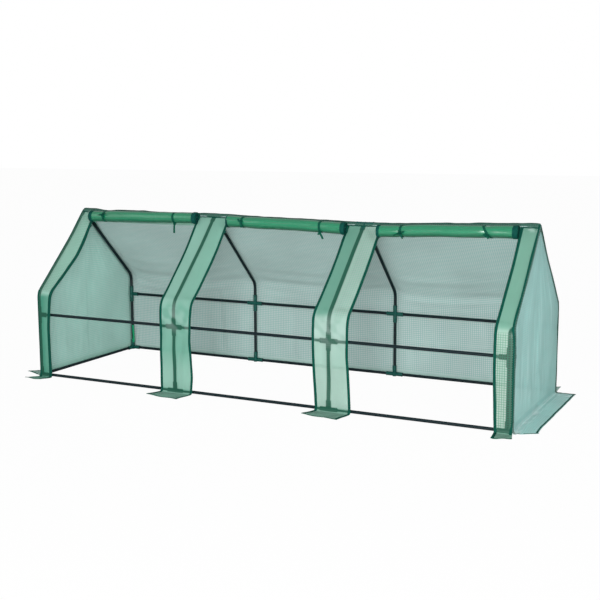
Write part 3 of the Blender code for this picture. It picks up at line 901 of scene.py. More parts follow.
    def slackened(self, points: Points) -> Points:
        """Lifts the cover off the ridge, where it is cut too wide, and draws it round the gables' tubes.

        The lift fades with the distance from the ridge along Y. Round a gable the cover moves in towards
        the tube as smoothly as the last centimetre along X passes.

        Args:
            points: Points on the ideal surface.

        Returns:
            The points on the slack one.
        """
        x, y, z = np.moveaxis(points, -1, 0)
        lift = stepped(self.ridge_places, self.ridge_lifts, x) * smoothstep(self.lift_reach, 0.0, np.abs(y))
        lift = lift * smoothstep(0.45, 0.8, z)
        drawn = self.corner_round * smoothstep(self.hoops[-1] + 0.001, self.cover_end, np.abs(x))
        wall = smoothstep(self.half_depth, self.half_depth + self.cover_offset, np.abs(y))
        steep = smoothstep(0.012, 0.05, z) * np.minimum(wall + (np.abs(y) < self.half_depth), 1)
        inward = -drawn * steep
        run, fall = self.slope
        on_wall = smoothstep(self.knee + 0.04, self.knee - 0.04, z)
        move_y = np.sign(y) * inward * (fall + (1 - fall) * on_wall)
        move_z = inward * run * (1 - on_wall)
        slack = self.gable_slack * smoothstep(self.hoops[-1] - 0.02, self.cover_end, x) * on_wall
        slack = slack * smoothstep(-0.28, -0.42, y)
        return points + np.stack([slack, move_y, move_z + lift], axis=-1)

    def cover_line(self, side: Side, top_drop: float, skirt: float, spacing: float) -> Points:
        """Gives the (y, z) line of the cover down one side.

        Args:
            side: Front or rear.
            top_drop: How far below the ridge it starts; below 0 it starts on the other slope.
            skirt: How far it runs out along the ground.
            spacing: The distance between the points.

        Returns:
            Evenly spaced points from the top to the hem.
        """
        knee = self.cover_knee(side)
        corners = [knee, (knee[0], self.ground), (knee[0] + side.value * skirt, self.ground)]
        radii = [self.knee_radius + self.cover_offset, self.skirt_radius]
        if top_drop >= 0:
            corners.insert(0, self.on_slope(side, top_drop, self.cover_offset))
        else:
            apex = (0.0, self.ridge + self.cover_offset / self.slope[0])
            other = Side.FRONT if side is Side.REAR else Side.REAR
            corners[:0] = [self.on_slope(other, -top_drop, self.cover_offset), apex]
            radii.insert(0, self.ridge_fold_radius)
        return rounded_line(corners, radii, spacing)


def lifted(flat: Points, x: Points) -> Points:
    """Places (y, z) points, one a row, at each X, one a column.

    Args:
        flat: The (y, z) points.
        x: The X values, one for each column, or a grid of them.

    Returns:
        A grid of (x, y, z) points.
    """
    x = np.broadcast_to(x, (len(flat), np.shape(x)[-1]))
    y, z = (np.broadcast_to(column[:, None], x.shape) for column in flat.T)
    return np.stack([x, y, z], axis=-1)


def unrolled(across: Points, along: Points) -> Points:
    """Pairs a grid of places across a sheet with each row's distance along it, as UV coordinates."""
    return np.stack([across, np.broadcast_to(along[:, None], across.shape)], axis=-1)


def joint_named(name: str) -> dict:
    """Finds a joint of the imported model."""
    return next(joint for joint in frame["joints"] if joint["name"] == name)


@dataclass
class TubeFrame:
    """The push-fit frame: tubes seated in moulded connectors."""

    bones: Skeleton
    tube_radius: float = 0.008
    sides: int = 28
    arm_length: float = 0.048
    arm_radius: float = 0.0106
    mouth_radius: float = 0.0117
    lip_length: float = 0.005
    hub_radius: float = 0.0113
    pad_height: float = 0.0025

    @property
    def arm_profile(self) -> tuple[Points, Points]:
        """Gives a connector's arm, with a rib halfway and a lip at the mouth.

        Returns:
            Distances from the hub's middle, and the radius at each as a share of the arm's own.
        """
        lip = self.arm_length - self.lip_length
        mouth = self.mouth_radius / self.arm_radius
        stations = [0.0, 0.012, 0.022, 0.024, 0.026, lip - 0.002, lip, lip + 0.001,
                    self.arm_length - 0.001, self.arm_length]
        return np.array(stations), np.array([0.98, 1.0, 1.01, 1.07, 1.01, 1.03, 1.03, mouth, mouth, 1.04])

    def build(self) -> None:
        """Builds every tube and connector."""
        bones = self.bones
        for side in Side:
            name = side.name.lower()
            y = side.value * bones.half_depth
            for bay, (left, right) in enumerate(zip(bones.hoops, bones.hoops[1:]), 1):
                for level, z in (("lower", bones.lower), ("mid", bones.mid)):
                    self.tube(f"{name}_{level}_rail_{bay}", np.array([[left, y, z], [right, y, z]]), Z_AXIS)
            for hoop, x in enumerate(bones.hoops, 1):
                self.tube(f"{name}_post_{hoop}", np.array([[x, y, bones.lower], [x, y, bones.mid]]), X_AXIS)
                self.rafter(f"{name}_rafter_{hoop}", x, side)
                self.connector(f"{name}_foot_{hoop}", (x, y, bones.lower), hoop, side, (), (0, 0, 1))
                self.connector(f"{name}_mid_fitting_{hoop}", (x, y, bones.mid), hoop, None,
                               (f"{name}_mid_connector_{hoop}",), (0, 0, 1), (0, 0, -1))
        for bay, (left, right) in enumerate(zip(bones.hoops, bones.hoops[1:]), 1):
            ends = np.array([[left, 0, bones.ridge], [right, 0, bones.ridge]])
            self.tube(f"ridge_rail_{bay}", ends, Z_AXIS)
        run, fall = bones.slope
        for hoop, x in enumerate(bones.hoops, 1):
            self.connector(f"ridge_fitting_{hoop}", (x, 0, bones.ridge), hoop, None, (), (0, -run, -fall),
                           (0, run, -fall))
        for name, x in (("left", bones.hoops[0]), ("right", bones.hoops[-1])):
            ends = np.array([[x, -bones.half_depth, bones.lower], [x, bones.half_depth, bones.lower]])
            self.tube(f"{name}_base_bar", ends, X_AXIS)

    def tube(self, node: str, path: Points, across: Points) -> None:
        """Builds a tube in place of its node: a circle carried along its centre line.

        Args:
            node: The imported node.
            path: The centre line, or a straight tube's two ends.
            across: A direction across it.
        """
        if len(path) == 2:
            path = resample(path, 9)
        outline = circle(self.tube_radius, self.sides)
        Shape().sweep(path, across, outline).build(f"tube_{node}", STEEL, stands_for=(node,))

    def rafter(self, node: str, x: float, side: Side) -> None:
        """Builds a bent tube: up from the mid rail, round the knee and on to the ridge.

        Args:
            node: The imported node.
            x: Where its hoop is.
            side: Front or rear.
        """
        bones = self.bones
        y = side.value * bones.half_depth
        corners = [(y, bones.mid), (y, bones.knee), (0.0, bones.ridge)]
        flat = rounded_line(corners, [bones.knee_radius], 0.012)
        self.tube(node, np.column_stack([np.full(len(flat), x), flat]), X_AXIS)

    def connector(self, name: str, centre: tuple, hoop: int, foot_side: Side | None,
                  stands_for: tuple[str, ...], *arms: tuple) -> None:
        """Builds a moulded connector: an arm for each tube, each with a lip and a rib at its mouth.

        Args:
            name: The piece's name.
            centre: Where its tubes' centre lines meet.
            hoop: The number of its hoop, which says on which sides rails leave.
            foot_side: The long side of a foot, whose end corners also hold a base bar.
            stands_for: The node that it replaces.
            *arms: The directions of the arms beside those along X.
        """
        last_hoop = len(self.bones.hoops)
        directions = [np.array(arm, float) for arm in arms]
        if hoop > 1:
            directions.append(-X_AXIS)
        if hoop < last_hoop:
            directions.append(X_AXIS)
        if foot_side and hoop in (1, last_hoop):
            directions.append(np.array([0.0, -foot_side.value, 0.0]))
        shape = Shape()
        centre = np.array(centre, float)
        stations, radii = self.arm_profile
        for along in directions:
            across = Z_AXIS if abs(along[0]) > 0.9 else X_AXIS
            path = centre + stations[:, None] * along
            shape.sweep(path, across, circle(self.arm_radius, self.sides), radii)
        self.hub(shape, centre)
        if foot_side:
            pad = centre + np.array([-centre[2], self.pad_height - centre[2], 0.0])[:, None] * Z_AXIS
            shape.sweep(pad, X_AXIS, circle(self.hub_radius, self.sides), np.array([1.0, 1.0, 0.96]))
        shape.build(name, FITTING, stands_for=stands_for)

    def hub(self, shape: Shape, centre: Points) -> None:
        """Adds the round middle of a connector: a sphere as rings whose radius is a cosine of height.

        Args:
            shape: The connector's mesh.
            centre: Its middle.
        """
        latitude = np.linspace(-1.45, 1.45, 13)
        path = centre + np.sin(latitude)[:, None] * self.hub_radius * X_AXIS
        shape.sweep(path, Z_AXIS, circle(self.hub_radius, self.sides), np.cos(latitude))


@dataclass
class RearPanel:
    """The rear wall and roof slope, with the strip over the ridge and the skirt, sewn as one sheet."""

    bones: Skeleton
    sags: tuple[float, float, float] = (0.034, 0.016, 0.022)
    sag_reach: float = 0.29
    sag_tilt: float = math.radians(23)
    fold_height: float = 0.0022
    wall_fold: float = 0.0045
    unrest: float = 0.0012
    skirt_lift: float = 0.007
    spacing: float = 0.0076
    hem_width: float = 0.009
    drape_pitch: float = 0.062
    drape_reach: float = 0.13
    upright_folds: tuple = ((-0.69, 0.25, 0.012, 0.006), (-0.2, -0.1, 0.02, 0.004),
                            (0.98, 0.6, 0.03, 0.005), (0.1, 0.15, 0.03, 0.003))

    def build(self) -> None:
        """Builds the panel and its hem tape."""
        bones = self.bones
        line = bones.cover_line(Side.REAR, -bones.strip_width, bones.skirt, self.spacing)
        along = arc_length(line)
        x = self.columns()
        x_grid, along_grid = np.meshgrid(x, along)
        ideal = lifted(line, x)
        hung = self.settled(ideal, x_grid, along_grid)
        points = bones.slackened(hung)
        gap = bones.tube_gap((ideal + hung) / 2)
        behind = 0.5 * smoothstep(0.05, 0.018, ideal[..., 2])
        cover = Shape().sheet(points, unrolled(x_grid, along), bones.thickness, gap, behind)
        made = cover.build("cover_rear_panel", REAR_COVER, stands_for=("rear_panel",))
        tape = Shape().sweep(points[-2], np.array([0, 1.0, 0]), tape_outline(self.hem_width, 0.0016))
        hem = tape.build("rear_skirt_hem", TAPE)

    def columns(self) -> Points:
        """Gives the X of the sheet's columns: close together where it lies on a hoop, wider between.

        Returns:
            The columns, in rising order.
        """
        hoops = np.array(self.bones.hoops)
        between = (hoops[:-1, None] + np.linspace(0.024, hoops[1] - hoops[0] - 0.024, 58)).ravel()
        beside = (hoops[:, None] + np.linspace(-0.018, 0.018, 9)).ravel()
        end = self.bones.cover_end
        return np.sort(np.concatenate([[-end, end], between, beside[np.abs(beside) < end - 0.002]]))

    def sag(self, x: Points) -> Points:
        """Gives how far the eave hangs in between hoops: t^0.45 (1 - t)^0.9, most near the left one.

        Args:
            x: Places along the ridge.

        Returns:
            The sag at each, at the knee.
        """
        hoops = np.array(self.bones.hoops)
        bay = np.clip(np.searchsorted(hoops, x) - 1, 0, len(hoops) - 2)
        t = np.clip((x - hoops[bay]) / (hoops[bay + 1] - hoops[bay]), 0, 1)
        shape = t**0.45 * (1 - t) ** 0.9
        soft = smoothstep(0, 0.05, t) * smoothstep(1, 0.95, t)
        return np.array(self.sags)[bay] * shape / 0.49 * soft

    def settled(self, points: Points, x: Points, along: Points) -> Points:
        """Moves the ideal surface into the folds that the cloth hangs in.

        The eave sags as (1 - (height / reach)^2)^2 above and below the knee. Curved folds follow the sag,
        a sine of height that fades as a bell. The wall has upright folds, each a bell across its own
        leaning line, and one packing crease. The skirt lies in low waves.

        Args:
            points: The ideal surface.
            x: Its X coordinates.
            along: Its distances from the front edge of the ridge strip.

        Returns:
            The surface as it hangs.
        """
        bones = self.bones
        knee_y, knee_z = bones.cover_knee(Side.REAR)
        z = points[..., 2]
        out = normals(points)
        rail_top = bones.mid + 0.008
        reach = np.where(z > knee_z, self.sag_reach, knee_z - rail_top)
        fall_off = np.clip(1 - ((z - knee_z) / reach) ** 2, 0, 1) ** 2 * (points[..., 1] > 0)
        depth = self.sag(x) * fall_off
        tilt = np.array([0, -math.cos(self.sag_tilt), -math.sin(self.sag_tilt)])
        moved = points + depth[..., None] * tilt
        hoops = np.array(bones.hoops)
        clear = np.clip(np.abs(x[..., None] - hoops).min(-1) / 0.12, 0, 1)
        slope = smoothstep(knee_z - 0.02, knee_z + 0.05, z) * (points[..., 1] > 0)
        from_knee = np.abs(z - knee_z)
        lag = self.sag(x) * 2.2
        drape = np.sin(math.tau * (z + lag) / self.drape_pitch + 1.1 * np.sin(x * 4.3))
        height = self.fold_height * drape * bump(0, self.drape_reach, from_knee) * clear
        wide = ripple(x * 0.3, along, 0.11, 11)
        height = height + self.unrest * (0.6 + wide) * slope * (0.35 + 0.65 * clear)
        wall = smoothstep(0.02, 0.07, z) * smoothstep(knee_z - 0.03, knee_z - 0.12, z)
        upright = ripple(x, along * 0.16, 0.12, 5)
        height = height + wall * self.wall_fold * (0.3 + 0.5 * np.clip(upright, -0.6, 1.5)) * 0.5
        for place, lean, width, rise in self.upright_folds:
            line = place + lean * (0.25 - z) * 0.35
            height = height + wall * rise * bump(line, width, x)
        height = height - 0.0016 * bump(bones.pack_crease, bones.pack_crease_width, z) * wall
        skirt = smoothstep(knee_y + 0.004, knee_y + bones.skirt, points[..., 1])
        waves = ripple(x, along * 0.4, 0.16, 21)
        lift = self.skirt_lift * skirt * (0.5 + 0.5 * np.clip(waves, -1, 1.6))
        moved = moved + height[..., None] * out
        moved[..., 2] = np.maximum(moved[..., 2] + lift, bones.on_ground)
        return moved


@dataclass
class EndPanel:
    """A gabled end with upright folds, and its skirt on the ground."""

    bones: Skeleton
    side: int
    finish: WovenSheet
    fold_depth: float = 0.007
    folds: int = 4
    taper: float = 0.065
    skirt_lift: float = 0.0015
    front_corner: float = 0.0
    hem_layer: float = 0.0
    whiteness: float = 0.0
    columns: int = 129
    spacing: float = 0.0075
    hem_width: float = 0.009
    hem_start: int = 8
    top_drop: float = 0.004
    rim_width: float = 0.012

    @property
    def name(self) -> str:
        """Gives the end's name."""
        return "right" if self.side > 0 else "left"

    def build(self) -> None:
        """Builds the panel with its skirt, and the tape round the skirt."""
        bones = self.bones
        outline = bones.cover_line(Side.FRONT, self.top_drop, 0.0, self.spacing)
        outline = outline[outline[:, 1] > 2 * bones.skirt_radius]
        wall = bones.half_depth + bones.cover_offset
        corners = [(0, outline[-1, 1]), (0, bones.ground), (bones.end_skirt, bones.ground)]
        skirt = rounded_line(corners, [bones.skirt_radius], self.spacing)[1:]
        reach = np.concatenate([np.zeros(len(outline)), skirt[:, 0]])[:, None]
        z = np.concatenate([outline[:, 1], skirt[:, 1]])[:, None]
        half_width = np.concatenate([-outline[:, 0], np.full(len(skirt), wall)])[:, None]
        across = np.linspace(-1, 1, self.columns)[None]
        spread = reach / bones.end_skirt
        y = across * half_width + self.taper * spread * (1 - across) / 2
        waves = np.clip(0.5 + 0.6 * ripple(y, reach * 0.5, 0.1, 33 + self.side), 0, 1.6)
        lift = self.skirt_lift * smoothstep(0.1, 1.0, spread) * waves
        ridge = 0.004 * bump(0.22, 0.06, spread) * (0.6 + 0.4 * ripple(y, y * 0, 0.13, 8))
        stretch = 1 + self.front_corner * smoothstep(-0.86, -1.0, across) * spread
        x = self.side * (bones.hoops[-1] + bones.cover_offset + reach * stretch + self.fold(across, z))
        rim = half_width - np.abs(across * half_width)
        rounding = smoothstep(self.rim_width, 0.0, rim) * smoothstep(0.012, 0.05, z)
        x = x - self.side * bones.corner_round * rounding
        points = np.stack([x, y, z + lift + ridge * (reach > 0)], axis=-1)
        gap = bones.tube_gap(points)
        points = bones.slackened(points)
        along = arc_length(np.hstack([reach, z]))
        layer = self.hem_layer * np.maximum(smoothstep(0.055, 0.02, z), spread > 0)
        crease = self.creases(across, z, spread)
        cover = Shape().sheet(points, unrolled(y, along), bones.thickness, gap, layer, crease)
        made = cover.build(f"cover_{self.name}_end", self.finish, stands_for=(f"{self.name}_end_panel",))
        first = len(outline) + self.hem_start
        border = np.concatenate([points[first:, 1], points[-2, 2:-2], points[first:, -2][::-1]])
        folded = tape_outline(self.hem_width, 0.0018)
        tape = Shape().sweep(resample(border, 180), np.array([0.6, 0.8, 0.0]), folded)
        hem = tape.build(f"{self.name}_skirt_hem", TAPE)

    def creases(self, across: Points, z: Points, spread: Points) -> Points:
        """Gives the white of painted highlights on the cloth: along the skirt's fold, in its rear corner and
        in streaks.

        Args:
            across: Places across the panel, from -1 in front to 1 at the rear.
            z: Heights.
            spread: Places across the skirt, from 0 at the wall to 1 at the hem.

        Returns:
            0 to 1 for each point.
        """
        # painted highlights: whitish glare along the skirt's fold, in the rear corner and in streaks
        patches = smoothstep(-0.1, 0.9, ripple(across * 0.5, spread * 0.15, 0.09, 61))
        fold_line = bump(0.14, 0.12, spread) * (z < 0.05) * smoothstep(0.35, 0.0, across)
        corner = smoothstep(0.72, 0.84, across) * smoothstep(0.1, 0.3, spread)
        streaks = smoothstep(0.3, 1.6, ripple(across * 0.45, z * 0.06, 0.05, 62))
        streaks = 0.35 * streaks * smoothstep(0.02, 0.2, z)
        return self.whiteness * np.clip(fold_line * (0.5 + 0.5 * patches) + corner * patches + streaks, 0, 1)

    def fold(self, across: Points, z: Points) -> Points:
        """Gives the outward height of the upright folds: a row of waves that fade towards ridge and edges.

        Args:
            across: Places across the panel, from -1 in front to 1 at the rear.
            z: Heights.

        Returns:
            How far the cloth stands off its plane.
        """
        bones = self.bones
        ramp = np.clip(z / 0.13, 0, 1) * np.clip(1 - z / bones.ridge, 0, 1) ** 0.5
        edge = np.sqrt(np.clip(1 - across**2, 0, 1))
        swing = 0.16 * np.sin(5.2 * z + 1.3 * across)
        wave = 0.5 - 0.5 * np.cos(math.pi * self.folds * (across + 1 + swing))
        uneven = 0.65 + 0.35 * ripple(across * 0.5, z * 0.2, 0.4, 40 + self.side)
        fine = 0.0008 * ripple(across * 0.45, z * 0.25, 0.05, 50 + self.side)
        crease = -0.0012 * bump(bones.pack_crease, bones.pack_crease_width, z)
        return ramp * edge * (self.fold_depth * wave * uneven + fine + crease) + 0.0003


@dataclass(frozen=True)
class Drift:
    """How far one edge of a pier lies off its straight line in X, from the ridge down to the flap's tip."""

    ridge: float = 0.0
    middle: float = 0.0
    knee: float = 0.0
    wall: float = 0.0
    shin: float = 0.0
    ground: float = 0.0
    tip: float = 0.0

    def at(self, share: Points) -> Points:
        """Reads the drift at shares of the pier's length, smoothed over neighbouring rows.

        Args:
            share: 0 at the ridge strip, 1 at the hem; the rows are evenly spaced.

        Returns:
            The drift at each row.
        """
        places = (0.0, 0.26, 0.51, 0.66, 0.83, 0.9, 1.0)
        values = (self.ridge, self.middle, self.knee, self.wall, self.shin, self.ground, self.tip)
        rough = np.interp(share, places, values)
        window = np.hanning(2 * SMOOTHED_ROWS + 1)
        padded = np.pad(rough, SMOOTHED_ROWS, mode="edge")
        smooth = np.convolve(padded, window / window.sum(), mode="same")
        return smooth[SMOOTHED_ROWS:-SMOOTHED_ROWS]


@dataclass
class Pier:
    """The strip of cover in front of a hoop, its ground flap, its zips and its binding."""

    bones: Skeleton
    hoop: int
    left: Drift
    right: Drift
    flap: Pair
    finish: WovenSheet
    bulge: float = 0.001
    off_rafter: float = 0.0
    # second layer behind the slope and wall, left and right of the rafter, which also paints shade pier by
    # pier
    slope_layer_and_shade: Pair = (0.0, 0.0)
    wall_layer_and_shade: Pair = (0.0, 0.0)
    low_layer: float = 1.0
    flap_layer: float = 0.8
    crumpled: float = 0.0
    worn_knee: float = 0.0
    drape: float = 0.009
    on_tube: float = 0.012
    off_tube: float = 0.083
    tip_lift: Pair = (0.002, 0.002)
    columns: int = 41
    spacing: float = 0.0062
    hem_width: float = 0.008
    tape_width: float = 0.0122
    tape_thickness: float = 0.0011
    coil_radius: float = 0.0017
    coil_pitch: float = 0.0022
    touching: Pair = (0.12, 0.4)

    def line(self) -> Points:
        """Gives the (y, z) line of the front cover, from the ridge strip to the hem."""
        bones = self.bones
        return bones.cover_line(Side.FRONT, bones.strip_width + bones.seam_gap, bones.skirt, self.spacing)

    def edges(self, share: Points) -> tuple[Points, Points]:
        """Gives the X of the strip's left and right edges at shares of its length."""
        left, right = self.bones.pier_edges(self.hoop)
        return left + self.left.at(share), right + self.right.at(share)

    def build(self) -> None:
        """Builds the strip and everything sewn to its edges."""
        bones = self.bones
        line = self.line()
        along = arc_length(line)
        left, right = bones.pier_edges(self.hoop)
        across = np.linspace(0, 1, self.columns)[None]
        west, east = (edge[:, None] for edge in self.edges(along / along[-1]))
        x = west + (east - west) * across
        ideal = lifted(line, x)
        hung = self.hung(ideal, across, along[:, None])
        above_knee = smoothstep(bones.knee - 0.01, bones.knee + 0.03, ideal[..., 2])
        loose = self.touching[0] + (self.touching[1] - self.touching[0]) * above_knee
        gap = bones.tube_gap(ideal + loose[..., None] * (hung - ideal)) + self.off_rafter * above_knee
        points = bones.slackened(hung)
        layer = self.layers(ideal, across)
        crease = self.crumple(x, along[:, None], ideal[..., 2])
        cover = Shape().sheet(points, unrolled(x, along), bones.thickness, gap, layer, crease)
        node = f"front_pier_{self.hoop}"
        made = cover.build(f"cover_{node}", self.finish, stands_for=(node,))
        pieces = [self.hem(points)]
        if self.hoop > 1:
            pieces += self.zip(points, 0, "left")
        if self.hoop < len(bones.hoops):
            pieces += self.zip(points, -1, "right")

    def layers(self, points: Points, across: Points) -> Points:
        """Gives how much of a second layer lies behind, together with painted shade: on the slope, on the
        wall and under the flap.

        Slope and wall each run from their left value to their right one across the rafter. Set pier by pier,
        these values also paint shade, such as the darker left half of pier 3's slope.

        Args:
            points: The ideal surface.
            across: 0 at the left edge, 1 at the right.

        Returns:
            0 to 1 for each point.
        """
        bones = self.bones
        middle = smoothstep(0.35, 0.65, across)
        # painted shade: these values paint each pier's slope and wall darker and greener
        slope, wall = (low + (high - low) * middle for low, high in (self.slope_layer_and_shade, self.wall_layer_and_shade))
        y, z = points[..., 1], points[..., 2]
        wall = wall * (1 + (self.low_layer - 1) * smoothstep(0.24, 0.1, z))
        upright = slope + (wall - slope) * smoothstep(bones.knee + 0.02, bones.knee - 0.02, z)
        flat = smoothstep(0.035, 0.01, z) * (y < -bones.half_depth)
        return upright + (np.maximum(upright, self.flap_layer) - upright) * flat

    def crumple(self, x: Points, along: Points, z: Points) -> Points:
        """Gives how white the cloth has gone, crumpled below the ridge strip and stretched at the knee.

        Args:
            x: Places along the ridge.
            along: Distances from the ridge strip.
            z: Heights.

        Returns:
            0 to 1 for each point.
        """
        top = smoothstep(0.032, 0.012, along) * smoothstep(-0.4, 0.7, ripple(x, along, 0.03, 90))
        knee = bump(self.bones.mid + 0.05, 0.07, z) * smoothstep(-0.9, 0.6, ripple(x, z, 0.06, 91))
        return self.crumpled * top + self.worn_knee * knee

    def hung(self, points: Points, across: Points, along: Points) -> Points:
        """Lets the strip hang over its rafter, and lays its flap on the ground.

        On the slope the strip falls off to both sides of the rafter as |distance|^1.5. The flap's depth
        runs evenly from its left to its right value, and its tips lift.

        Args:
            points: The ideal surface.
            across: 0 at the left edge, 1 at the right.
            along: Distances from the ridge strip.

        Returns:
            The surface as it hangs.
        """
        bones = self.bones
        y, z = points[..., 1], points[..., 2]
        wall_y = -(bones.half_depth + bones.cover_offset)
        knee = bones.cover_knee(Side.FRONT)[1]
        slope_length = (bones.ridge - knee) / bones.slope[1]
        out = -normals(points)
        centre = bones.hoops[self.hoop - 1]
        off = np.clip((np.abs(points[..., 0] - centre) - self.on_tube) / self.off_tube, 0, 1.4)
        share = along / slope_length
        on_slope = smoothstep(0.05, 0.4, share) * smoothstep(1.15, 0.75, share)
        height = -self.drape * off**1.5 * on_slope
        seed = 60 + self.hoop
        on_wall = smoothstep(knee, knee - 0.08, z) * smoothstep(0.0, 0.06, z)
        height = height + self.bulge * on_wall * (0.6 + 0.5 * ripple(points[..., 0], z * 0.35, 0.07, seed))
        height = height + 0.0006 * ripple(points[..., 0], along * 0.3, 0.05, seed + 10) * np.clip(off, 0, 1)
        flap = np.clip((wall_y - y) / bones.skirt, 0, 1)
        depth = self.flap[0] + (self.flap[1] - self.flap[0]) * across
        rounding = 1 - 0.03 * np.abs(2 * across - 1) ** 6
        new_y = np.where(flap > 0, wall_y - flap * depth * rounding, y)
        lift = flap**2 * (self.tip_lift[0] * (1 - across) ** 2 + self.tip_lift[1] * across**2)
        lift = lift + 0.003 * flap * (0.5 + 0.5 * np.sin(9 * across + 5 * flap + self.hoop))
        moved = np.stack([points[..., 0], new_y, z], axis=-1) + height[..., None] * out
        moved[..., 2] = np.maximum(moved[..., 2] + lift, bones.on_ground)
        return moved

    def hem(self, points: Points) -> Piece:
        """Builds the tape along the flap's front edge.

        Args:
            points: The hung strip.

        Returns:
            The tape.
        """
        across = points[-1, -1] - points[-1, 0]
        inward = np.array([-across[1], across[0], 0.0])
        tape = Shape().sweep(points[-2], inward, tape_outline(self.hem_width, 0.0018))
        return tape.build(f"flap_hem_{self.hoop}", TAPE)

    def zip(self, points: Points, column: int, side: str) -> list[Piece]:
        """Builds the tape and the row of teeth along one edge.

        The teeth are a rod whose radius swells once in each pitch.

        Args:
            points: The hung strip.
            column: The edge's column, 0 or -1.
            side: The edge's name.

        Returns:
            The tape and the teeth.
        """
        inner, sign = (3, 1) if column == 0 else (-4, -1)
        edge = points[:, column]
        inward = unit(points[:, inner] - edge)
        lift = unit(np.cross(np.gradient(edge, axis=0), inward)) * sign
        middle = edge + inward * self.tape_width / 2
        middle = middle + lift * (self.tape_thickness + self.bones.thickness) / 2
        tape = Shape().sweep(middle, inward, tape_outline(self.tape_width, self.tape_thickness))
        count = int(arc_length(edge)[-1] / (self.coil_pitch / 3))
        rod = resample(edge - inward * 0.0004 + lift * 0.0012, count)
        swell = 1 + 0.22 * np.cos(math.tau * np.arange(count) / 3)
        teeth = Shape().sweep(rod, X_AXIS, circle(self.coil_radius, 6), swell)
        return [tape.build(f"zip_tape_{self.hoop}_{side}", TAPE),
                teeth.build(f"zip_teeth_{self.hoop}_{side}", ZIP_COIL)]


@dataclass
class Binding:
    """The tapes round the gables' edges, the seam below the ridge and the straps inside the corners."""

    bones: Skeleton
    width: float = 0.0135
    thickness: float = 0.003
    inset: float = 0.0052
    seam_width: float = 0.007
    seam_thickness: float = 0.0012
    seam_lift: float = 0.0014
    strap_width: float = 0.013
    strap_thickness: float = 0.0011
    strap_length: float = 0.11
    strap_foot: float = 0.045
    strap_radius: float = 0.0098
    strap_height: float = 0.075
    strap_rise: float = 0.02
    strap_place: Pair = (0.0092, 0.0105)
    piping_width: float = 0.008
    piping_thickness: float = 0.0024

    def build(self) -> None:
        """Builds every tape."""
        for end, side in (("left", -1), ("right", 1)):
            for long_side in Side:
                self.gable(end, side, long_side)
            self.strap(end, side)
        self.ridge_seam()

    def gable(self, end: str, side: int, long_side: Side) -> None:
        """Builds the tape down one edge of a gable, folded over the corner of the two sheets.

        Args:
            end: The end's name.
            side: -1 at the left end, 1 at the right.
            long_side: Front or rear.
        """
        bones = self.bones
        line = bones.cover_line(long_side, 0.0, 0.004, 0.006)
        x = side * (bones.cover_end - self.inset)
        path = np.column_stack([np.full(len(line), x), line])
        path = bones.slackened(path + 0.0004 * ripple(path, path[:, ::-1], 0.2, 70 + side))
        tape = Shape().sweep(path, X_AXIS, tape_outline(self.width, self.thickness))
        tape.build(f"{end}_{long_side.name.lower()}_gable_tape", TAPE)

    def ridge_seam(self) -> None:
        """Builds the tape that joins the ridge strip to doors and piers, and the piping along the ridge."""
        bones = self.bones
        x = np.linspace(-bones.cover_end, bones.cover_end, 300)
        none = np.zeros_like(x)
        y, z = bones.on_slope(Side.FRONT, bones.strip_width, bones.cover_offset + self.seam_lift)
        seam = np.column_stack([x, none + y, z + 0.0011 * ripple(x, none, 0.03, 71)])
        run, fall = bones.slope
        top = bones.ridge + bones.cover_offset / run - bones.ridge_fold_radius * (1 / run - 1)
        crest = np.column_stack([x, none, top + 0.0006 * ripple(x, none, 0.09, 72) + 0.0006])
        for name, path, across, width, thickness in (
                ("ridge_strip_seam", seam, (0, -run, -fall), self.seam_width, self.seam_thickness),
                ("ridge_piping", crest, (0, 1, 0), self.piping_width, self.piping_thickness)):
            outline = tape_outline(width, thickness)
            Shape().sweep(bones.slackened(path), np.array(across, float), outline).build(name, TAPE)

    def strap(self, end: str, side: int) -> None:
        """Builds the strap that holds the cover to the rear post, just above its foot.

        It is a loop round the post, which rises as a sine of its angle, and a loose end up along the post.

        Args:
            end: The end's name.
            side: -1 at the left end, 1 at the right.
        """
        bones = self.bones
        x = side * bones.hoops[-1]
        outline = tape_outline(self.strap_width, self.strap_thickness)
        angle = np.linspace(-2.2, 2.2, 24)
        loop = np.column_stack([x - side * self.strap_radius * np.cos(angle),
                                bones.half_depth + self.strap_radius * np.sin(angle),
                                self.strap_height + self.strap_rise * np.sin(angle)])
        rise = np.linspace(self.strap_foot, self.strap_foot + self.strap_length, 24)
        beside, before = self.strap_place
        start = np.array([x - side * beside, bones.half_depth - before, 0])
        hang = start + np.column_stack([-side * 0.004 * np.sin(rise * 20), np.zeros_like(rise), rise])
        strap = Shape().sweep(loop, Z_AXIS, outline).sweep(hang, np.array([1.0, 0.35, 0]), outline)
        strap.build(f"{end}_corner_strap", STRAP)


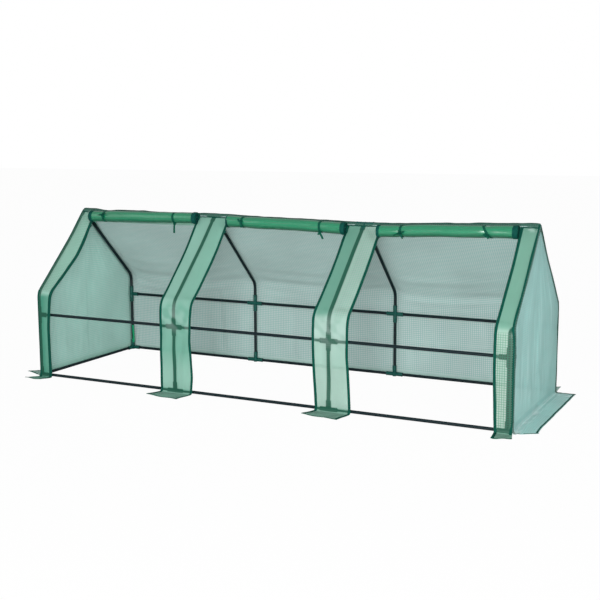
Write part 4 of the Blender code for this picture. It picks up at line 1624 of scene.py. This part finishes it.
@dataclass
class Door:
    """One rolled-up door: its top edge below the ridge strip, its roll and its two ties.

    At rest its sheet lies folded in the roll.
    """

    bones: Skeleton
    bay: int
    beside: tuple[Pier, Pier]
    knots: tuple[Knot, Knot]
    tie_x: Pair
    seed: int
    beyond: Pair
    slips: tuple[float, float, float]
    bound: Pair
    turns: float = 4.5
    layer: float = 0.0011
    waist: float = 0.0032
    radius: float = 0.031
    band_radius: float = 0.0335
    core: float = 0.007
    header_depth: float = 0.024
    around: int = 34
    columns: int = 150
    pull_out: Pair = (-0.0212, 0.012)
    nearest: float = 0.028
    lowest: float = 0.046
    edge_tape: float = 0.012
    hem_shift: float = 0.006
    flattened: float = 0.16
    limp: float = 0.12
    first_angle: float = math.radians(310)
    sheet_inset: float = 0.004
    tie_width: float = 0.0125
    tie_thickness: float = 0.0016
    tie_lift: float = 0.0011
    tie_foot: Pair = (0.0565, 0.01)
    knot_lift: float = 0.002
    knot_size: float = 0.003
    tail_width: float = 0.0105
    tail_thickness: float = 0.0014
    band_thickness: float = 0.0018
    band_turn: float = 0.18
    band_round: Pair = (0.0016, 0.004)
    cap_inset: float = 0.0022
    cap_depths: tuple = (0.012, 0.0035, 0.0026, 0.0022, 0.002)
    cap_sizes: tuple = (1.0, 1.0, 0.9, 0.6, 0.08)

    def __post_init__(self) -> None:
        """Reads the roll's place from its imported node; its ends lie a little beyond that."""
        low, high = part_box(f"door_roll_{self.bay}")
        self.left, self.right = low.x + self.beyond[0], high.x + self.beyond[1]
        self.centre = np.array([(low.y + high.y) / 2, (low.z + high.z) / 2])

    def axis(self, x: Points) -> Points:
        """Gives the (y, z) of the roll's middle line, which has slipped up or down the slope.

        Args:
            x: Places along the ridge.

        Returns:
            The middle line's (y, z) at each.
        """
        places = (self.left, (self.left + self.right) / 2, self.right)
        slip = stepped(places, self.slips, x)
        return self.centre + slip[..., None] * np.array(self.bones.slope)

    @property
    def wound(self) -> Points:
        """Gives the spiral's rows, in turns from its outer edge."""
        return np.linspace(0, self.turns, int(self.turns * self.around) + 1)

    @staticmethod
    def around_axis(x: Points, axis: Points, reach: Points, angle: Points) -> Points:
        """Places points at a distance from the roll's middle line and an angle round it.

        Args:
            x: Their X.
            axis: The (y, z) of the middle line there.
            reach: Their distances from it.
            angle: Their angles round it.

        Returns:
            The (x, y, z) points.
        """
        return np.stack([x, axis[..., 0] + reach * np.cos(angle), axis[..., 1] + reach * np.sin(angle)], -1)

    def reach(self, turn: Points, outer: Points | float) -> Points:
        """Gives the spiral's radius: from the outer one to the core's, as (turn / turns)^1.6."""
        return outer - (outer - self.core) * (turn / self.turns) ** 1.6

    def build(self) -> None:
        """Builds the header, the roll, its bound ends and the ties."""
        header = self.header()
        curtain = self.curtain()
        bands = [piece for x, end, width in zip((self.left, self.right), ("left", "right"), self.bound)
                 for piece in self.band(x, end, width)]
        roll = self.roll([curtain, *bands])
        ties = [self.tie(*tie) for tie in zip(self.tie_x, self.knots, (1, 2))]
        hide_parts(f"door_header_{self.bay}")
        self.flatten(roll, *bands)
        down, off = self.tie_foot
        y, z = self.bones.on_slope(Side.FRONT, down, self.bones.cover_offset + off)
        for tie in ties:
            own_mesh(tie)

    @property
    def joint(self) -> str:
        """Gives the name of the joint that carries the roll."""
        return f"door_{self.bay}_unroll"

    def flatten(self, *pieces: Piece) -> None:
        """Gives each of the roll's pieces its own copy of its mesh.

        Args:
            *pieces: The roll and what is wound with it.
        """
        for piece in pieces:
            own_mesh(piece)

    def laid_up(self, line: Points) -> tuple[Points, Points, Points]:
        """Finds where the rows of the door's sheet lie at rest.

        Each row turns about the joint's axis by a share of the joint's angle, 3t^2 - 2t^3, where t runs
        from 0 to 1 between the two ends of the blend. A row's t is set so that this turn takes the row to
        its own place down the slope and the wall. Its distance from the axis stays the same, so at rest
        it lies off the roll's middle by as much as the cover lies off the arc.

        Args:
            line: The rows' (y, z) places when the door is down.

        Returns:
            Their (y, z) places at rest, and the directions away from the axis and along the arc.
        """
        joint = joint_named(self.joint)
        axis, angle = np.array(joint["pos_m"][1:]), math.radians(joint["range_deg"][1])
        arm = self.centre - axis
        length = np.linalg.norm(arm)
        outward = unit(arm)
        onward = np.array([-outward[1], outward[0]])
        place = line - axis
        reach = np.maximum(np.linalg.norm(place, axis=1), length - self.nearest)
        turn = np.arctan2(place[:, 1], place[:, 0]) - math.atan2(*arm[::-1])
        turn = np.unwrap(np.where(turn < -1, turn + math.tau, turn))
        start, end = self.pull_out
        table = np.linspace(0, 1, BLEND_STEPS)
        t = np.linspace(0, 1, len(turn))
        for _ in range(BLEND_ROUNDS):
            share = (turn - (start + (end - start) * t) / length) / angle
            t = np.interp(np.clip(share, 0, 1), table * table * (3 - 2 * table), table)
        beyond = np.maximum((turn - angle) * length - end, 0)
        rest = self.centre + (start + (end - start) * t + beyond)[:, None] * onward
        return rest + (reach - length)[:, None] * outward, outward, onward

    def curtain(self) -> Piece:
        """Builds the sheet that the roll draws out, laid up inside the roll. Its edges are bound.

        Its sides follow the two piers beside it, and its first row is the lower edge of the door's top.

        Returns:
            The sheet.
        """
        bones = self.bones
        line = self.beside[0].line()
        along = arc_length(line)
        kept = (along > self.header_depth) & (line[:, 1] > self.lowest)
        shares = along / along[-1]
        west = self.beside[0].edges(shares)[1][kept, None]
        east = self.beside[1].edges(shares)[0][kept, None]
        rest, outward, onward = self.laid_up(line[kept])
        left = np.maximum(west, self.left + self.sheet_inset)
        right = np.minimum(east, self.right - self.sheet_inset)
        width = self.right - self.left - 2 * self.sheet_inset
        near = np.array([0, self.edge_tape - 0.001, self.edge_tape]) / width
        x = left + (right - left) * np.concatenate([near, np.linspace(0.03, 0.97, 54), 1 - near[::-1]])
        drop = bones.strip_width + self.header_depth
        top = lifted(np.array([bones.on_slope(Side.FRONT, drop, bones.cover_offset)]), x[0])
        points = np.concatenate([bones.slackened(top), lifted(rest, x)])
        x = points[..., 0]
        inside = np.minimum(x - x[:, :1], x[:, -1:] - x)
        # the bound edges get a gap of 0, so they are painted in the dark colour that elsewhere paints a
        # tube's shade
        unbound = smoothstep(self.edge_tape - 0.0015, self.edge_tape - 0.0005, inside)
        uv = unrolled(x, np.concatenate([[drop], along[kept]]))
        out = np.broadcast_to(np.array([0, *outward]), points.shape)
        sheet = Shape().sheet(points, uv, bones.thickness, unbound, out=out)
        made = sheet.build(f"door_sheet_{self.bay}", COVER, None)
        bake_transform(made)
        return made

    def header(self) -> Piece:
        """Builds the door's top, from its seam down to where it turns under the roll.

        Returns:
            The top.
        """
        bones = self.bones
        x = np.linspace(self.left, self.right, self.columns)
        drop = np.linspace(bones.strip_width + bones.seam_gap, bones.strip_width + self.header_depth, 12)
        x_grid, drop_grid = np.meshgrid(x, drop)
        y, z = bones.on_slope(Side.FRONT, drop_grid, bones.cover_offset)
        points = bones.slackened(np.stack([x_grid, y, z], axis=-1))
        top = Shape().sheet(points, unrolled(x_grid, drop), bones.thickness)
        return top.build(f"door_top_{self.bay}", DOOR_CLOTH)

    def girth(self, x: Points) -> Points:
        """Gives the roll's outer radius: drawn in by a bell at each tie, full at its ends, uneven between.

        Args:
            x: Places along the roll.

        Returns:
            The radius at each.
        """
        drawn = sum(self.waist * bump(tie, 0.022, x) for tie in self.tie_x)
        full = 0.0007 * ripple(x, x * 0, 0.2, self.seed)
        ends = np.minimum(x - self.left, self.right - x)
        return self.radius - drawn + full + 0.001 * bump(0, 0.03, ends)

    def roll(self, with_pieces: list[Piece]) -> Piece:
        """Builds the wound sheet, a spiral.

        Args:
            with_pieces: The other pieces of the door's sheet; not used.

        Returns:
            The wound sheet.
        """
        x = np.linspace(self.left + 0.001, self.right - 0.001, self.columns)
        x_grid, turn_grid = np.meshgrid(x, self.wound)
        sway = 0.05 * ripple(x_grid, turn_grid * 0.02, 0.5, self.seed)
        angle = math.tau * turn_grid + self.first_angle + sway
        dent = 0.0005 * ripple(x_grid * 0.2, turn_grid * 0.17, 0.055, self.seed + 1)
        reach = self.reach(turn_grid, self.girth(x_grid) - self.layer / 2)
        reach = reach + dent * smoothstep(1.2, 0.8, turn_grid)
        length = np.cumsum(math.tau * self.wound[1] * self.reach(self.wound, self.radius))
        # painted shade: marks the underside of the roll to be painted darker
        painted_underside_shade = smoothstep(-0.1, -0.85, np.sin(angle))
        points = self.around_axis(x_grid, self.axis(x_grid), reach, angle)
        sheet = Shape().sheet(points, unrolled(x_grid, length), self.layer, layer=painted_underside_shade)
        made = sheet.build(f"rolled_door_{self.bay}", ROLL, f"door_{self.bay}", (f"door_roll_{self.bay}",))
        return made

    def band(self, x: float, end: str, width: float) -> list[Piece]:
        """Builds the dark binding wound with one end of the roll, which stands proud, and closes the end with
        a near-black dish that is painted shade for the hollow inside the roll.

        Args:
            x: Where the roll ends.
            end: The end's name.
            width: The binding's width.

        Returns:
            The binding and the closed end.
        """
        inward = 1 if end == "left" else -1
        across_grid, turn_grid = np.meshgrid(np.linspace(0, width, 7), self.wound)
        angle = math.tau * turn_grid + self.first_angle
        fall, within = self.band_round
        round_edge = fall * (1 - smoothstep(0, within, np.minimum(across_grid, width - across_grid)))
        reach = self.reach(turn_grid, self.band_radius) - round_edge
        axis = self.axis(np.full(across_grid.shape, x))
        points = self.around_axis(x + inward * across_grid, axis, reach, angle)
        uv = unrolled(across_grid, self.wound * self.band_turn)
        binding = Shape().sheet(points, uv, self.band_thickness)
        middle = np.array([x, *self.axis(np.array(x))])
        depth = np.array(self.cap_depths)[:, None] * inward * X_AXIS
        # painted shade: a near-black dish for the shaded hollow inside the roll's end
        cap = circle(self.band_radius - self.cap_inset, 36)
        core = Shape().sweep(middle + depth, Z_AXIS, cap, np.array(self.cap_sizes))
        body = f"door_{self.bay}"
        return [binding.build(f"roll_binding_{self.bay}_{end}", ROLL_TAPE, body),
                core.build(f"roll_end_{self.bay}_{end}", ROLL_END_SHADE, body)]

    def tie(self, x: float, knot: Knot, number: int) -> Piece:
        """Builds a tie: a tape round the roll, its knot and its tails.

        Args:
            x: Where it is along the roll.
            knot: How it is fastened.
            number: Its number on this door.

        Returns:
            The tie.
        """
        degrees, slant, tails = knot.value
        radius = float(self.girth(np.array([x]))[0]) + self.tie_lift
        centre = self.axis(np.array(x))
        angle = np.linspace(-0.35, math.tau - 0.35, 60)
        loop = self.around_axis(x - slant * np.sin(angle), centre, radius, angle)
        shape = Shape().sweep(loop, X_AXIS, tape_outline(self.tie_width, self.tie_thickness))
        at = math.radians(degrees)
        spoke = np.array([0, math.cos(at), math.sin(at)])
        root = np.array([x, *centre]) + spoke * (radius + self.knot_lift)
        self.knot(shape, root)
        for index, (lean, drop) in enumerate(tails):
            self.tail(shape, root, spoke, lean, drop, index)
        return shape.build(f"tie_{self.bay}_{number}", TIE_TAPE)

    def knot(self, shape: Shape, root: Points) -> None:
        """Adds a small overhand knot, as a trefoil: three lobes on a ring, crossing over and under.

        Args:
            shape: The tie's mesh.
            root: Where the knot is.
        """
        t = np.linspace(0, math.tau, 60, endpoint=False)
        lobes = np.column_stack([np.sin(t) + 2 * np.sin(2 * t), -0.9 * np.sin(3 * t),
                                 np.cos(t) - 2 * np.cos(2 * t)])
        path = root + lobes * self.knot_size
        shape.sweep(path, np.array([0.2, 1.0, 0.3]), tape_outline(0.0062, 0.003), closed=True)

    def tail(self, shape: Shape, root: Points, spoke: Points, lean: float, drop: float, index: int) -> None:
        """Adds a tail that leaves the knot outwards and then hangs, or lies along the roll if it points up.

        Args:
            shape: The tie's mesh.
            root: Where the knot is.
            spoke: The way out from the roll.
            lean: How far its end lies to the side.
            drop: How far its end hangs below the knot; below 0 it points up.
            index: Its number, which turns its twist.
        """
        t = np.linspace(0, 1, 22)
        side = lean * np.sin(t * math.pi / 2)
        out = 0.004 * np.sin(t * math.pi) + 0.002
        path = root + out[:, None] * spoke + np.column_stack([side, -0.001 * t, -drop * t**1.15])
        twist = 0.5 * np.sin(t * 2.6 + index)
        across = np.column_stack([np.cos(twist), np.sin(twist), 0.2 * np.ones(22)])
        shape.sweep(path, across, tape_outline(self.tail_width, self.tail_thickness))


@dataclass
class Slider:
    """One zip slider with its pull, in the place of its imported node."""

    bones: Skeleton
    number: int
    pier: Pier
    length: float = 0.014
    depth: float = 0.004
    half_width: float = 0.0036
    flare: float = 0.0012
    bridge_reach: float = 0.0045
    bridge_rise: float = 0.0022
    pull_foot: float = 0.008
    pull_lift: float = 0.0042
    pull_length: float = 0.026
    pull_width: float = 0.0064
    pull_thickness: float = 0.0014

    def slip(self, start: float) -> float:
        """Gives how far in X the zip lies off its straight line, as a mean over the slider's way.

        Args:
            start: How far below the ridge the slider is at rest.

        Returns:
            The slip.
        """
        travel = np.array(joint_named(f"zip_{self.number}_slide")["range_m"])
        length = arc_length(self.pier.line())[-1]
        share = np.linspace(0, 1, 200)
        drift = (self.pier.left if self.number % 2 == 0 else self.pier.right).at(share)
        ends = (start - self.bones.strip_width + travel) / length
        return float(np.interp(ends, share, drift).mean())

    def build(self) -> None:
        """Builds the body, the bridge and the pull, on the edge of its pier."""
        low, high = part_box(f"zip_slider_{self.number}")
        run, fall = self.bones.slope
        down = np.array([0, -run, -fall])
        out = np.array([0, -fall, run])
        top = np.array([(low.x + high.x) / 2 + self.slip(-high.y / run), high.y, high.z])
        start = top - out * self.depth
        shape = Shape()
        stations = np.linspace(0, self.length, 9)
        width = self.half_width + self.flare * np.sin(stations / self.length * math.pi / 2 + 0.6)
        shape.sweep(start + stations[:, None] * down, X_AXIS, tape_outline(2.0, 1.3, 6), width)
        arch = np.linspace(0, math.pi, 11)
        bridge = start + down * self.length / 2 - np.outer(self.bridge_reach * np.cos(arch), down)
        bridge = bridge + np.outer(self.bridge_rise + self.bridge_rise * np.sin(arch), out)
        shape.sweep(bridge, X_AXIS, tape_outline(0.0028, 0.0012))
        hang = np.linspace(0, self.pull_length, 12)
        pull = start + down * self.pull_foot + hang[:, None] * down + out * self.pull_lift
        swell = 1 - 0.25 * bump(0.012, 0.008, hang)
        shape.sweep(pull, X_AXIS, tape_outline(self.pull_width, self.pull_thickness), swell)
        name = f"slider_{self.number}"
        shape.build(name, ZIP_PULL, name, (f"zip_{name}",))


@dataclass
class Studio:
    """Camera, floor and soft light."""

    place: tuple[float, float, float] = (2.58514, -5.00666, 1.34356)
    yaw: float = -0.46571
    pitch: float = -0.15491
    roll: float = -0.00356
    lens: float = 63.41
    sky: float = 0.52
    seen_through: float = 0.45
    floor_reach: float = 30.0
    floor_height: float = -0.0005

    def build(self) -> None:
        """Builds everything that isn't part of the object."""
        self.camera()
        self.floor()
        self.world()
        self.lamp("key", (4.6, -3.8, 3.3), (0.3, 0.0, 0.3), 3.5, 165)
        self.lamp("fill", (-3.5, -3.0, 2.2), (-0.5, 0.0, 0.4), 3.0, 28)
        self.lamp("low_front", (1.6, -5.2, 0.7), (0.0, 0.0, 0.3), 1.9, 270)
        bpy.context.scene.view_settings.view_transform = "Standard"

    def camera(self) -> None:
        """Sets the camera that was solved from the photograph."""
        ahead = math.cos(self.pitch)
        forward = Vector((math.sin(self.yaw) * ahead, math.cos(self.yaw) * ahead, math.sin(self.pitch)))
        level = Vector((math.cos(self.yaw), -math.sin(self.yaw), 0))
        upright = level.cross(forward)
        right = level * math.cos(self.roll) + upright * math.sin(self.roll)
        up = upright * math.cos(self.roll) - level * math.sin(self.roll)
        data = bpy.data.cameras.new("camera")
        data.lens = self.lens
        data.sensor_width = 36
        camera = bpy.data.objects.new("camera", data)
        turn = Matrix((right, up, -forward)).transposed().to_4x4()
        camera.matrix_world = Matrix.Translation(self.place) @ turn
        bpy.context.scene.collection.objects.link(camera)
        bpy.context.scene.camera = camera

    def floor(self) -> None:
        """Lays a white floor that keeps a faint shadow."""
        mesh = bpy.data.meshes.new("floor")
        corners = ((-1, -1), (1, -1), (1, 1), (-1, 1))
        mesh.from_pydata([(x * self.floor_reach, y * self.floor_reach, self.floor_height)
                          for x, y in corners], [], [(0, 1, 2, 3)])
        floor = bpy.data.objects.new("floor", mesh)
        bpy.context.scene.collection.objects.link(floor)
        tree = Tree(bpy.data.materials.new("white_floor"))
        path = tree.add("LightPath").outputs
        matt = tree.add("BsdfDiffuse", {"Color": (0.6, 0.6, 0.6, 1)}).outputs[0]
        deep = tree.math("GREATER_THAN", path["Transparent Depth"], 0.5)
        level = tree.spread(deep, 0, 1, 1.0, self.seen_through)
        glow = tree.add("Emission", {"Strength": level}).outputs[0]
        white = tree.add("MixShader", {0: 0.97, 1: matt, 2: glow}).outputs[0]
        seen = tree.add("MixShader", {0: path["Is Camera Ray"], 1: matt, 2: white}).outputs[0]
        mesh.materials.append(tree.show(seen))

    def world(self) -> None:
        """Lights the object evenly, and shows white behind it and a plain grey through its cover."""
        world = bpy.data.worlds.new("studio")
        bpy.context.scene.world = world
        tree = Tree(world)
        path = tree.add("LightPath").outputs
        deep = tree.math("GREATER_THAN", path["Transparent Depth"], 0.5)
        shown = tree.math("SUBTRACT", 1.0, tree.math("MULTIPLY", deep, 1 - self.seen_through))
        direct = tree.math("MAXIMUM", path["Is Camera Ray"], path["Is Transmission Ray"])
        lit = tree.math("MULTIPLY", tree.math("SUBTRACT", 1.0, direct), self.sky)
        strength = tree.math("ADD", tree.math("MULTIPLY", direct, shown), lit)
        sky = tree.add("Background", {"Color": (1, 1, 1, 1), "Strength": strength}).outputs[0]
        tree.add("OutputWorld", {"Surface": sky})

    def lamp(self, name: str, place: tuple, aim: tuple, size: float, power: float) -> None:
        """Hangs a square soft lamp that points at a place.

        Args:
            name: The lamp's name.
            place: Where it hangs.
            aim: What it points at.
            size: Its width.
            power: Its power in watts.
        """
        data = bpy.data.lights.new(name, "AREA")
        data.size = size
        data.energy = power
        lamp = bpy.data.objects.new(name, data)
        lamp.location = place
        lamp.rotation_euler = (Vector(aim) - Vector(place)).to_track_quat("-Z", "Y").to_euler()
        bpy.context.scene.collection.objects.link(lamp)


def main() -> None:
    """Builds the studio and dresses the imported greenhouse."""
    logging.basicConfig(level=logging.INFO, format="%(name)s: %(message)s")
    Studio().build()
    bones = Skeleton()
    TubeFrame(bones).build()
    RearPanel(bones).build()
    ends = (
        EndPanel(bones, -1, LEFT_END_COVER, front_corner=0.45, hem_layer=0.5),
        EndPanel(bones, 1, LIT_END_COVER, whiteness=0.8),
    )
    for end in ends:
        end.build()
    piers = (
        Pier(bones, 1, Drift(tip=-0.06), Drift(0.02, 0.04, 0.01, -0.008, -0.005, -0.004, -0.024),
             flap=(0.07, 0.08), finish=COVER, wall_layer_and_shade=(1.1, 1.0), tape_width=0.018),
        Pier(bones, 2, Drift(-0.006, 0.004, 0.009, 0.009, 0.008, 0.008, -0.023),
             Drift(0.006, 0.014, 0.014, 0.005, 0.017, 0.009, -0.012), flap=(0.1, 0.127), finish=COVER,
             bulge=0.004, slope_layer_and_shade=(0.62, 0.72), wall_layer_and_shade=(0.82, 0.86), low_layer=0.75,
             worn_knee=0.25),
        Pier(bones, 3, Drift(0.006, 0.012, 0.006, 0.006, 0.019, 0.024, -0.008),
             Drift(0.01, 0.012, 0.01, 0.006, 0.02, 0.022, 0.0), flap=(0.1, 0.126), finish=PALE_COVER,
             bulge=0.0035, slope_layer_and_shade=(0.9, 0.0), wall_layer_and_shade=(0.3, 0.38), worn_knee=0.25),
        Pier(bones, 4, Drift(0.0, 0.002, 0.002, 0.001, 0.009, 0.012, 0.03), Drift(tip=0.02),
             flap=(0.112, 0.075), finish=NET_COVER, off_rafter=0.006, slope_layer_and_shade=(0.8, 0.8),
             wall_layer_and_shade=(0.05, 0.05), crumpled=0.4),
    )
    for pier in piers:
        pier.build()
    Binding(bones).build()
    doors = (
        Door(bones, 1, piers[0:2], knots=(Knot.SIDE_TAILS, Knot.LONG_TAIL), tie_x=(-1.147, -0.676),
             seed=101, beyond=(0.007, 0.02), slips=(0.0, 0.008, 0.015), bound=(0.022, 0.023)),
        Door(bones, 2, piers[1:3], knots=(Knot.FORKED, Knot.LOW), tie_x=(-0.232, 0.233),
             seed=111, beyond=(0.01, 0.032), slips=(0.0, -0.005, -0.017), bound=(0.005, 0.021)),
        Door(bones, 3, piers[2:4], knots=(Knot.CROSSED, Knot.SLANTED), tie_x=(0.682, 1.117),
             seed=121, beyond=(0.001, 0.011), slips=(-0.026, -0.008, 0.001), bound=(0.015, 0.024)),
    )
    for door in doors:
        door.build()
    for number in range(1, 7):
        Slider(bones, number, piers[number // 2]).build()


if __name__ == "__main__":
    main()
